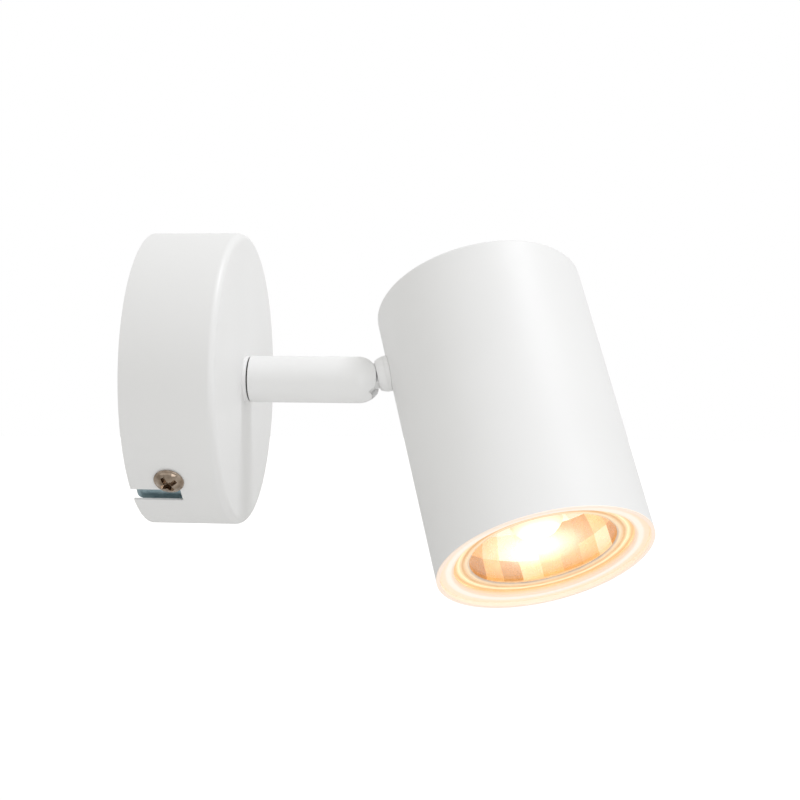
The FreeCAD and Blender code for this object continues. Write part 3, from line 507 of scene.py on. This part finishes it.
@dataclass(frozen=True)
class GlowingFrost:
    """Frosted glass in front of the light source, lit warm white and fainter towards its side."""

    name: str
    strength: float = 1.5
    radius: float = 7.0
    place: Matrix = field(default_factory=STANCE.head)
    glow: Stops = (
        (0.0, (1.0, 0.96, 0.88)),
        (0.45, (1.0, 0.90, 0.74)),
        (0.8, (0.66, 0.50, 0.31)),
        (1.0, (0.44, 0.30, 0.16)),
    )

    def material(self) -> Material:
        """Build the node material.

        Returns:
            The finished material.
        """
        graph = Graph(self.name)
        across = graph.across(self.place, 0.0, self.radius)
        mottled = graph.maths("ADD", across, graph.uneven(180, 2, -0.06, 0.06))
        return graph.surface({
            "Base Color": (0.5, 0.49, 0.46, 1.0),
            "Roughness": 0.5,
            "Emission Color": graph.shade(mottled, self.glow),
            "Emission Strength": self.strength,
            "Normal": graph.bump(graph.noise(1800, 2), 0.01),
        })


WHITE = (0.86, 0.86, 0.855)
# Painted light on the retaining ring: a warm emission for the lamp's spill, with a paler band from 24.8 to
# 25.6 mm painted as the highlight on the ring's inner edge.
RING_PAINTED_LIGHT = (
    (23.4, (0.24, 0.06, 0.0)),
    (24.2, (0.30, 0.13, 0.02)),
    (24.8, (0.36, 0.30, 0.24)),
    (25.6, (0.36, 0.30, 0.24)),
    (26.3, (0.32, 0.165, 0.05)),
    (27.7, (0.30, 0.15, 0.04)),
)
FINISHES = {
    "canopy_paint": PowderCoat("canopy_paint_coat", WHITE),
    # Painted light: the arm's white is paler than the canopy's, standing in for the extra light that falls
    # on the arm.
    "arm_paint": PowderCoat("arm_paint_coat", (0.90, 0.90, 0.895), edge=0.2),
    # Painted light: the head's paint carries a warm emission for the lamp's spill inside its mouth.
    "head_paint": PaintedSpillCoat("head_paint_coat", WHITE, 0.5),
    # The ring's base colour is tinted warm as part of the painted lamp light.
    "ring_paint": PaintedSpillCoat("ring_paint_coat", (0.86, 0.84, 0.78), 0.5, spill=RING_PAINTED_LIGHT),
    "zinc": BareMetal("zinc_plate", (0.36, 0.46, 0.49), (0.25, 0.35, 0.39), 0.30, Working.ROLLED),
    # Painted reflection: the nickel's brownish colour and dark mottle stand in for the warm, dark
    # reflections on the screw head.
    "nickel": BareMetal("nickel_plate", (0.50, 0.41, 0.33), (0.22, 0.165, 0.12), 0.12, Working.PLATED),
    "brass": BareMetal("brass_turned", (0.72, 0.52, 0.22), (0.60, 0.41, 0.16), 0.25, Working.TURNED),
    "black_rubber": Moulding("black_rubber_matte", (0.025, 0.025, 0.026), 0.75, 0.012),
    "dark_washer": Moulding("dark_washer_fibre", (0.035, 0.033, 0.03), 0.65),
    "block_plastic": Moulding("block_nylon", (0.78, 0.76, 0.70), 0.42),
    "live_brown": Moulding("live_insulation", (0.17, 0.07, 0.03), 0.45),
    "neutral_blue": Moulding("neutral_insulation", (0.03, 0.12, 0.45), 0.45),
    "earth_green": Moulding("earth_insulation", (0.12, 0.42, 0.06), 0.45),
    "sheath": Moulding("lead_sheath", (0.72, 0.71, 0.67), 0.5),
    "steatite": Moulding("steatite_body", (0.80, 0.77, 0.70), 0.6, 0.02, (0.62, 0.58, 0.50)),
    "lamp_glass": ClearGlass("lamp_glass_clear"),
    "reflector_coat": MirrorCoat("reflector_coat_facets"),
    "dome_lit": GlowingFrost("dome_frost_lit"),
    "lamp_base_white": Moulding("lamp_base_ceramic", (0.82, 0.80, 0.76), 0.55, 0.015, (0.66, 0.62, 0.56)),
}


class Wardrobe:
    """Makes each finish once and hands out its material."""

    def __init__(self) -> None:
        """Start with no material made."""
        self.made: dict[str, Material] = {}

    def get(self, slot: str) -> Material:
        """Find the material of a slot, and make it if need be.

        Args:
            slot: The record's slot.

        Returns:
            The slot's material.
        """
        if slot not in self.made:
            self.made[slot] = FINISHES[slot].material()
        return self.made[slot]

    def dress_packed_pieces(self) -> None:
        """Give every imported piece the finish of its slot."""
        for subpart in frame["record"]["subparts"]:
            for place in frame["nodes"][subpart["node"]].material_slots:
                place.material = self.get(subpart["material_slot"])


def arc(start: tuple[float, float], end: tuple[float, float], rise: float, steps: int) -> Profile:
    """Points of an arc between two profile points, without the first.

    Args:
        start: Radius and height where the arc starts.
        end: Radius and height where it ends.
        rise: Height of the arc over its chord, positive to the left of the way along it.
        steps: Number of straight steps.

    Returns:
        The profile points after the start.
    """
    first, last = Vector(start), Vector(end)
    chord = last - first
    left = Vector((-chord.y, chord.x)).normalized()
    bow = (chord.length ** 2 / 4 + rise ** 2) / (2 * abs(rise))
    side = math.copysign(1.0, rise)
    centre = (first + last) / 2 + left * (rise - side * bow)
    half = math.asin(min(1.0, chord.length / 2 / bow))
    spoke = first - centre
    points = []
    for step in range(1, steps + 1):
        angle = -side * 2 * half * step / steps
        swung = Vector((
            spoke.x * math.cos(angle) - spoke.y * math.sin(angle),
            spoke.x * math.sin(angle) + spoke.y * math.cos(angle),
        ))
        points.append(tuple(centre + swung))
    return points


def spun(profile: Profile, rounds: dict[int, float] | None = None, closed: bool = False,
         steps: int = 128) -> BMesh:
    """Turn a profile about the z axis.

    Args:
        profile: Radius and height of each point, in millimetres.
        rounds: Rounding radius by point number.
        closed: Whether the last point joins the first.
        steps: Number of faces round the axis.

    Returns:
        The turned mesh, merged and with its normals set.
    """
    mesh = bmesh.new()
    points = [mesh.verts.new((radius, 0, height)) for radius, height in profile]
    followers = points[1:] + points[:1] if closed else points[1:]
    for start, end in zip(points, followers):
        mesh.edges.new((start, end))
    for number, radius in (rounds or {}).items():
        bmesh.ops.bevel(mesh, geom=[points[number]], offset=radius, offset_type="OFFSET", segments=6,
                        profile=0.5, affect="VERTICES", material=-1)
    bmesh.ops.spin(mesh, geom=mesh.verts[:] + mesh.edges[:], axis=(0, 0, 1), cent=(0, 0, 0),
                   steps=steps, angle=2 * math.pi, use_merge=True)
    bmesh.ops.remove_doubles(mesh, verts=mesh.verts[:], dist=0.001)
    bmesh.ops.recalc_face_normals(mesh, faces=mesh.faces[:])
    return mesh


def made_object(name: str, mesh: BMesh, place: Matrix, sharp: float = CREASE) -> Object:
    """Put a mesh in its frame and make its object, in metres.

    Args:
        name: The piece's name.
        mesh: The mesh in millimetres, which is used up.
        place: The frame it was modelled in.
        sharp: Angle in degrees from which an edge stays sharp, or 0 for flat faces.

    Returns:
        The new object, at the origin.
    """
    bmesh.ops.transform(mesh, matrix=Matrix.Scale(MM, 4) @ place, verts=mesh.verts[:])
    data = bpy.data.meshes.new(name)
    mesh.to_mesh(data)
    mesh.free()
    if sharp:
        data.shade_smooth()
        data.set_sharp_from_angle(angle=math.radians(sharp))
    else:
        data.shade_flat()
    piece = bpy.data.objects.new(name, data)
    bpy.context.scene.collection.objects.link(piece)
    return piece


def thicken(piece: Object, thickness: float) -> None:
    """Give a shell its wall, inwards.

    Args:
        piece: The shell, which is the outer skin.
        thickness: The wall's thickness, in millimetres.
    """
    wall = piece.modifiers.new("wall", "SOLIDIFY")
    wall.thickness = thickness * MM
    wall.offset = -1.0
    wall.use_even_offset = True


def break_edges(piece: Object) -> None:
    """Round a piece's sharp edges.

    Args:
        piece: The piece.
    """
    edge = piece.modifiers.new("edge", "BEVEL")
    edge.width = SOFT_EDGE * MM
    edge.segments = 2
    edge.limit_method = "ANGLE"
    edge.angle_limit = math.radians(40)
    edge.harden_normals = True


def carve(piece: Object, cutter: Object, crossed: bool = False) -> None:
    """Cut one object out of another for good, and throw the cutter away.

    Args:
        piece: The object that is cut. Its other modifiers are applied as well.
        cutter: The object that is cut out of it.
        crossed: Whether parts of the cutter cross each other.
    """
    cut = piece.modifiers.new("cut", "BOOLEAN")
    cut.object = cutter
    cut.solver = "EXACT"
    cut.use_self = crossed
    whole = piece.evaluated_get(bpy.context.evaluated_depsgraph_get())
    data = bpy.data.meshes.new_from_object(whole)
    data.set_sharp_from_angle(angle=math.radians(CREASE))
    piece.modifiers.clear()
    piece.data = data
    bpy.data.objects.remove(cutter)


def add_piece(piece: Object, material: Material, body: str, slot: str, *nodes: str) -> None:
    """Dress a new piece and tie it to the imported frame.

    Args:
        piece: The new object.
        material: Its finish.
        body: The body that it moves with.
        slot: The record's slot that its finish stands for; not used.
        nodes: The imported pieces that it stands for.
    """
    piece.data.materials.clear()
    piece.data.materials.append(material)
    if nodes:
        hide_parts(*nodes)
    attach(piece, body)
    LOG.info("%s: %d faces, rides on %s", piece.name, len(piece.data.polygons), body)


@dataclass
class WallPlate:
    """Round canopy with its two bayonet notches and the screws that sit in them, in millimetres."""

    wardrobe: Wardrobe
    radius: float = 40.0
    depth: float = 25.0
    wall: float = 0.7
    edge: float = 2.0
    bore: float = 4.1
    notch_width: float = 4.55
    notch_seat: float = 4.7
    notch_turn: float = 5.875
    notch_margin: float = 3.0
    screw_depth: float = 11.0
    screw_head: float = 4.0
    screw_side: float = 0.5
    screw_height: float = 1.75
    screw_shank: float = 1.98
    screw_length: float = 6.5
    screw_chamfer: float = 0.4
    screw_flange: float = 0.5
    flange_height: float = 0.4
    flange_round: float = 0.15
    shoulder_round: float = 0.3
    crown_bow: float = 0.42
    recess_span: float = 6.6
    recess_width: float = 1.6
    recess_depth: float = 1.35
    recess_over: float = 0.4
    recess_taper: float = 0.55
    recess_turn: float = 28.0
    seat: float = 0.05
    frame: Matrix = field(default_factory=STANCE.wall)

    def cut_notch(self, mesh: BMesh, side: int) -> None:
        """Cut one L-shaped notch through the canopy's side.

        Args:
            mesh: The canopy's outer skin.
            side: 1 or -1, the end of the strap that the notch lies at.
        """
        leg_half, seat_half = self.notch_width / 2, self.notch_seat / 2
        leg_start, leg_end = self.notch_turn - leg_half, self.notch_turn + leg_half
        low, high = self.screw_depth - seat_half, self.screw_depth + seat_half
        cuts = [((0, side * across, 0), (0, 1, 0)) for across in (leg_start, leg_end, -seat_half)]
        cuts += [((0, 0, up), (0, 0, 1)) for up in (low, high)]
        for point, normal in cuts:
            near = self.faces_near(mesh, side, leg_end + self.notch_margin, self.depth - self.edge)
            geometry = near + list({edge for face in near for edge in face.edges})
            geometry += list({vert for face in near for vert in face.verts})
            bmesh.ops.bisect_plane(mesh, geom=geometry, dist=1e-5, plane_co=point, plane_no=normal)
        gone = []
        for face in self.faces_near(mesh, side, leg_end, high):
            middle = face.calc_center_median()
            across = middle.y * side
            in_leg = leg_start < across < leg_end and middle.z < high
            in_seat = -seat_half < across < leg_end and low < middle.z < high
            if in_leg or in_seat:
                gone.append(face)
        bmesh.ops.delete(mesh, geom=gone, context="FACES")

    @staticmethod
    def faces_near(mesh: BMesh, side: int, reach: float, top: float) -> list[BMFace]:
        """Find the faces of the canopy's side round one end of the strap.

        Args:
            mesh: The canopy's outer skin.
            side: 1 or -1, the end of the strap.
            reach: How far they may lie to either side of the strap.
            top: How far they may lie from the wall.

        Returns:
            The faces.
        """
        found = []
        for face in mesh.faces:
            middle = face.calc_center_median()
            if middle.x * side > 0 and abs(middle.y) < reach and middle.z < top:
                found.append(face)
        return found

    def canopy(self) -> None:
        """Make the canopy's shell."""
        profile = [(self.bore, self.depth), (self.radius, self.depth), (self.radius, 0)]
        mesh = spun(profile, {1: self.edge}, steps=160)
        for side in (-1, 1):
            self.cut_notch(mesh, side)
        piece = made_object("canopy_shell", mesh, self.frame)
        thicken(piece, self.wall)
        break_edges(piece)
        add_piece(piece, self.wardrobe.get("canopy_paint"), "wall_base", "canopy_paint", "wall_canopy")

    def recess(self) -> BMesh:
        """Make the tapered cross that is sunk into a screw's head.

        Returns:
            The cross, in the screw's frame.
        """
        mesh = bmesh.new()
        top = self.screw_height + self.recess_over
        low = self.screw_height - self.recess_depth
        for angle in (0, 90):
            bar = bmesh.ops.create_cube(mesh, size=1.0)["verts"]
            size = Matrix.Diagonal((self.recess_span, self.recess_width, top - low, 1.0))
            place = turned("Z", angle) @ moved(0, 0, (top + low) / 2) @ size
            bmesh.ops.transform(mesh, matrix=place, verts=bar)
            foot = [vert for vert in bar if vert.co.z < (top + low) / 2]
            bmesh.ops.scale(mesh, vec=(self.recess_taper, self.recess_taper, 1.0), verts=foot)
        return mesh

    def screw(self, side: int) -> Object:
        """Make one pan head screw at an end of the strap.

        Args:
            side: 1 or -1, the end of the strap.

        Returns:
            The screw, not yet dressed.
        """
        crown = self.screw_height - self.screw_side
        start = (self.screw_head - self.screw_flange, self.screw_side)
        profile = [
            (0, -self.screw_length),
            (self.screw_shank - self.screw_chamfer, -self.screw_length),
            (self.screw_shank, self.screw_chamfer - self.screw_length),
            (self.screw_shank, 0),
            (self.screw_head, 0),
            (self.screw_head, self.flange_height),
            start,
        ] + arc(start, (0, self.screw_height), -crown * self.crown_bow, steps=10)
        place = self.frame @ moved(side * (self.radius + self.seat), 0, self.screw_depth)
        place = place @ turned("Y", 90 * side) @ turned("Z", self.recess_turn)
        name = "canopy_screw_near" if side < 0 else "canopy_screw_far"
        rounds = {4: self.flange_round, 5: self.shoulder_round}
        piece = made_object(name, spun(profile, rounds, steps=64), place)
        carve(piece, made_object(f"{name}_recess", self.recess(), place, 0), crossed=True)
        return piece

    def build(self) -> None:
        """Make the canopy and its screws."""
        self.canopy()
        material = self.wardrobe.get("nickel")
        for side, nodes in ((-1, ("canopy_screws",)), (1, ())):
            add_piece(self.screw(side), material, "wall_base", "nickel", *nodes)


@dataclass
class SpotHead:
    """Cylindrical head and the ring that holds the lamp in it, in millimetres."""

    wardrobe: Wardrobe
    bore: float = 27.7
    wall: float = 1.0
    length: float = 80.6
    edge: float = 1.0
    ring_bore: float = 23.8
    ring_start: float = 1.2
    ring_end: float = 2.4
    ring_bevel: float = 0.4
    ring_round: float = 0.15
    seat: float = 0.02
    hole: float = 4.1
    frame: Matrix = field(default_factory=STANCE.head)

    def shell(self) -> None:
        """Make the head's closed cylinder with its hole for the stem."""
        radius = self.bore + self.wall
        profile = [(0, self.length), (radius, self.length), (radius, 0)]
        mesh = spun(profile, {1: self.edge}, steps=160)
        piece = made_object("head_body", mesh, self.frame)
        thicken(piece, self.wall)
        punch = bmesh.new()
        bmesh.ops.create_cone(punch, cap_ends=True, segments=48, radius1=self.hole, radius2=self.hole,
                              depth=radius)
        place = self.frame @ moved(0, radius, STANCE.stem_height) @ turned("X", 90)
        carve(piece, made_object("stem_punch", punch, place))
        break_edges(piece)
        add_piece(piece, self.wardrobe.get("head_paint"), "spot_head", "head_paint", "head_shell")

    def ring(self) -> None:
        """Make the retaining ring behind the rim."""
        outer = self.bore - self.seat
        profile = [
            (self.ring_bore + self.ring_bevel, self.ring_start),
            (outer, self.ring_start),
            (outer, self.ring_end),
            (self.ring_bore, self.ring_end),
            (self.ring_bore, self.ring_start + self.ring_bevel),
        ]
        rounds = {0: self.ring_round, 4: self.ring_round}
        piece = made_object("lamp_retaining_ring", spun(profile, rounds, closed=True), self.frame)
        add_piece(piece, self.wardrobe.get("ring_paint"), "spot_head", "ring_paint", "retaining_ring")

    def build(self) -> None:
        """Make the head and its ring."""
        self.shell()
        self.ring()


@dataclass
class ReflectorLamp:
    """Reflector lamp: ridged rim, front glass, faceted reflector and frosted dome, in millimetres."""

    wardrobe: Wardrobe
    rim_radius: float = 25.0
    lip_radius: float = 19.4
    glass_radius: float = 21.9
    start: float = 2.7
    rim_height: float = 2.8
    rim_bevel: float = 0.8
    ridges: int = 5
    ridge_depth: float = 0.28
    ridge_round: float = 0.14
    glass_start: float = 3.1
    glass_end: float = 4.9
    glass_crown: float = 0.5
    glass_bow: float = 0.25
    step_start: float = 1.2
    step_end: float = 0.9
    step_height: float = 0.25
    facets_round: int = 24
    facet_rows: int = 5
    facet_seed: int = 52
    bowl_mouth: float = 21.6
    bowl_neck: float = 7.8
    bowl_top: float = 30.4
    bowl_bow: float = 27.0
    bowl_wall: float = 1.7
    dome_radius: float = 7.0
    dome_start: float = 7.9
    dome_end: float = 34.4
    dome_crown: float = 3.5
    dome_bow: float = 1.6
    fit: float = 0.02
    frame: Matrix = field(default_factory=STANCE.head)

    def rim(self) -> None:
        """Make the rim with its concentric ridges."""
        inner = self.glass_radius + self.fit
        outer, low, high = self.rim_radius, self.start, self.start + self.rim_height
        pitch = (outer - self.rim_bevel - self.lip_radius) / self.ridges
        profile = [(inner, self.glass_start - self.fit), (self.lip_radius, self.glass_start - self.fit)]
        for ridge in range(self.ridges):
            crest = self.lip_radius + pitch * (ridge + 0.5)
            profile += [(crest, low), (crest + pitch * 0.5, low + self.ridge_depth)]
        profile += [(outer, low + self.rim_bevel), (outer, high), (inner, high)]
        rounds = {number: self.ridge_round for number in range(2, 2 * self.ridges + 1)}
        piece = made_object("lamp_glass_rim", spun(profile, rounds, closed=True), self.frame)
        material = GlassWithPaintedGlow("lamp_rim_lit", self.lip_radius, outer).material()
        add_piece(piece, material, "lamp", "lamp_glass", "lamp_rim")

    def glass(self) -> None:
        """Make the front glass with a crowned face and a step at its edge."""
        radius, low, high = self.glass_radius, self.glass_start, self.glass_end
        step = (radius - self.step_start, low + self.glass_crown)
        edge = low + self.glass_crown + self.step_height
        profile = [(0, low)] + arc((0, low), step, self.glass_crown * self.glass_bow, steps=12)
        profile += [(radius - self.step_end, edge), (radius, edge), (radius, high), (0, high)]
        piece = made_object("lamp_front_lens", spun(profile), self.frame)
        add_piece(piece, self.wardrobe.get("lamp_glass"), "lamp", "lamp_glass", "lamp_front_glass")

    def reflector(self) -> None:
        """Make the bowl of flat facets."""
        mouth = (self.bowl_mouth, self.start + self.rim_height)
        neck = (self.bowl_neck, self.bowl_top)
        chord = math.dist(mouth, neck)
        rise = self.bowl_bow - math.sqrt(self.bowl_bow ** 2 - chord ** 2 / 4)
        profile = [mouth] + arc(mouth, neck, -rise, self.facet_rows)
        mesh = spun(profile, steps=self.facets_round)
        reflection_tones = mesh.faces.layers.float.new(MirrorCoat.facet_reflection_tone)
        chance = random.Random(self.facet_seed)
        for face in sorted(mesh.faces, key=self.facet_order):
            face[reflection_tones] = chance.random()
        piece = made_object("lamp_facet_bowl", mesh, self.frame, 0)
        wall = piece.modifiers.new("wall", "SOLIDIFY")
        wall.thickness = self.bowl_wall * MM
        wall.offset = 1.0
        add_piece(piece, self.wardrobe.get("reflector_coat"), "lamp", "reflector_coat", "lamp_reflector")

    @staticmethod
    def facet_order(face: BMFace) -> tuple[float, float]:
        """Sort a facet by row and angle, so that it gets the same painted reflection tone in every run."""
        middle = face.calc_center_median()
        return round(middle.z, 2), round(math.atan2(middle.y, middle.x), 2)

    def dome(self) -> None:
        """Make the frosted dome over the light source."""
        shoulder = (self.dome_radius, self.dome_start + self.dome_crown)
        tip = (0.0, self.dome_start)
        profile = [tip] + arc(tip, shoulder, -self.dome_bow, steps=12)
        profile += [(self.dome_radius, self.dome_end), (0, self.dome_end)]
        piece = made_object("lamp_frosted_dome", spun(profile, steps=64), self.frame)
        add_piece(piece, self.wardrobe.get("dome_lit"), "lamp", "dome_lit", "lamp_dome")

    def build(self) -> None:
        """Make the lamp's visible pieces."""
        self.rim()
        self.glass()
        self.reflector()
        self.dome()


@dataclass
class Studio:
    """Pale floor, soft lights, white surroundings and the photograph's camera, in metres and watts."""

    floor_height: float = -0.30
    floor_size: float = 6.0
    floor_glow: tuple[float, float] = (0.30, 0.6)
    floor_fade: tuple[float, float] = (0.4, 1.6)
    world_light: Colour = (0.685, 0.680, 0.662)
    lamp_colour: Colour = (0.94, 0.955, 1.0)
    key_aim: Vector = Vector((-0.013, -0.094, -0.010))
    key_offset: Vector = Vector((-0.24, -0.065, 0.0))
    key_size: float = 0.14
    key_power: float = 0.108
    top_aim: Vector = Vector((0.0, -0.05, 0.0))
    top_place: Vector = Vector((0.0, -0.39, 0.64))
    top_size: float = 0.18
    top_power: float = 1.8
    camera_place: Vector = Vector((-0.467814, -0.124273, 0.006593))
    camera_right: Vector = Vector((0.120237, -0.992718, 0.007347))
    camera_up: Vector = Vector((0.024365, 0.010349, 0.999650))
    lens: float = 77.692

    def camera(self) -> None:
        """Make the camera at the photograph's viewing angle."""
        data = bpy.data.cameras.new("photo_camera")
        data.lens = self.lens
        data.clip_start = 0.01
        camera = bpy.data.objects.new("photo_camera", data)
        back = self.camera_right.cross(self.camera_up)
        turn = Matrix((self.camera_right, self.camera_up, back)).transposed().to_4x4()
        camera.matrix_world = Matrix.Translation(self.camera_place) @ turn
        bpy.context.scene.collection.objects.link(camera)
        bpy.context.scene.camera = camera

    def floor(self) -> None:
        """Make the floor, which keeps the light's shadow and runs to white far away."""
        mesh = bmesh.new()
        bmesh.ops.create_circle(mesh, cap_ends=True, segments=96, radius=self.floor_size / MM)
        floor = made_object("studio_floor", mesh, moved(0, 0, self.floor_height / MM))
        graph = Graph("studio_floor_paint")
        far = graph.span(graph.radius(graph.coordinates), *self.floor_glow, *self.floor_fade)
        seen = graph.add("ShaderNodeLightPath").outputs["Is Camera Ray"]
        floor.data.materials.append(graph.surface({
            "Base Color": graph.shade(graph.noise(2, 2), ((0.3, (0.87,) * 3), (0.7, (0.89,) * 3))),
            "Roughness": 0.9,
            "Specular IOR Level": 0.1,
            "Emission Color": (1.0, 1.0, 1.0, 1.0),
            "Emission Strength": graph.maths("MULTIPLY", far, seen),
        }))

    def world(self) -> None:
        """Make the surroundings: white to the eye and in gloss, grey as light."""
        world = bpy.data.worlds.new("studio")
        world.use_nodes = True
        tree = world.node_tree
        tree.nodes.clear()
        path = tree.nodes.new("ShaderNodeLightPath")
        white = tree.nodes.new("ShaderNodeBackground")
        grey = tree.nodes.new("ShaderNodeBackground")
        grey.inputs["Color"].default_value = (*self.world_light, 1.0)
        seen = path.outputs["Is Camera Ray"]
        for name in ("Is Glossy Ray", "Is Transmission Ray"):
            either = tree.nodes.new("ShaderNodeMath")
            either.operation = "MAXIMUM"
            tree.links.new(seen, either.inputs[0])
            tree.links.new(path.outputs[name], either.inputs[1])
            seen = either.outputs[0]
        mix = tree.nodes.new("ShaderNodeMixShader")
        out = tree.nodes.new("ShaderNodeOutputWorld")
        white.inputs["Color"].default_value = (1.0, 1.0, 1.0, 1.0)
        tree.links.new(seen, mix.inputs[0])
        tree.links.new(grey.outputs[0], mix.inputs[1])
        tree.links.new(white.outputs[0], mix.inputs[2])
        tree.links.new(mix.outputs[0], out.inputs["Surface"])
        bpy.context.scene.world = world

    def softbox(self, name: str, place: Vector, aim: Vector, size: float, power: float) -> None:
        """Make one square soft light.

        Args:
            name: The light's name.
            place: Where it stands, in metres.
            aim: The point that it faces.
            size: Its side, in metres.
            power: Its power, in watts.
        """
        data = bpy.data.lights.new(name, "AREA")
        data.energy = power
        data.size = size
        data.color = self.lamp_colour
        light = bpy.data.objects.new(name, data)
        turn = (aim - place).to_track_quat("-Z", "Y").to_matrix().to_4x4()
        light.matrix_world = Matrix.Translation(place) @ turn
        bpy.context.scene.collection.objects.link(light)

    def lights(self) -> None:
        """Make the key at the camera's right and the top light over the canopy."""
        key_place = self.key_aim + self.key_offset
        self.softbox("key_softbox", key_place, self.key_aim, self.key_size, self.key_power)
        self.softbox("top_softbox", self.top_place, self.top_aim, self.top_size, self.top_power)

    def build(self) -> None:
        """Make the whole studio."""
        self.floor()
        self.world()
        self.lights()
        self.camera()
        bpy.context.scene.view_settings.view_transform = "Standard"


def main() -> None:
    """Build the studio and the light's visible pieces."""
    logging.basicConfig(level=logging.INFO, format="%(name)s: %(message)s")
    wardrobe = Wardrobe()
    Studio().build()
    wardrobe.dress_packed_pieces()
    for assembly in (WallPlate(wardrobe), SpotHead(wardrobe), ReflectorLamp(wardrobe)):
        assembly.build()


if __name__ == "__main__":
    main()
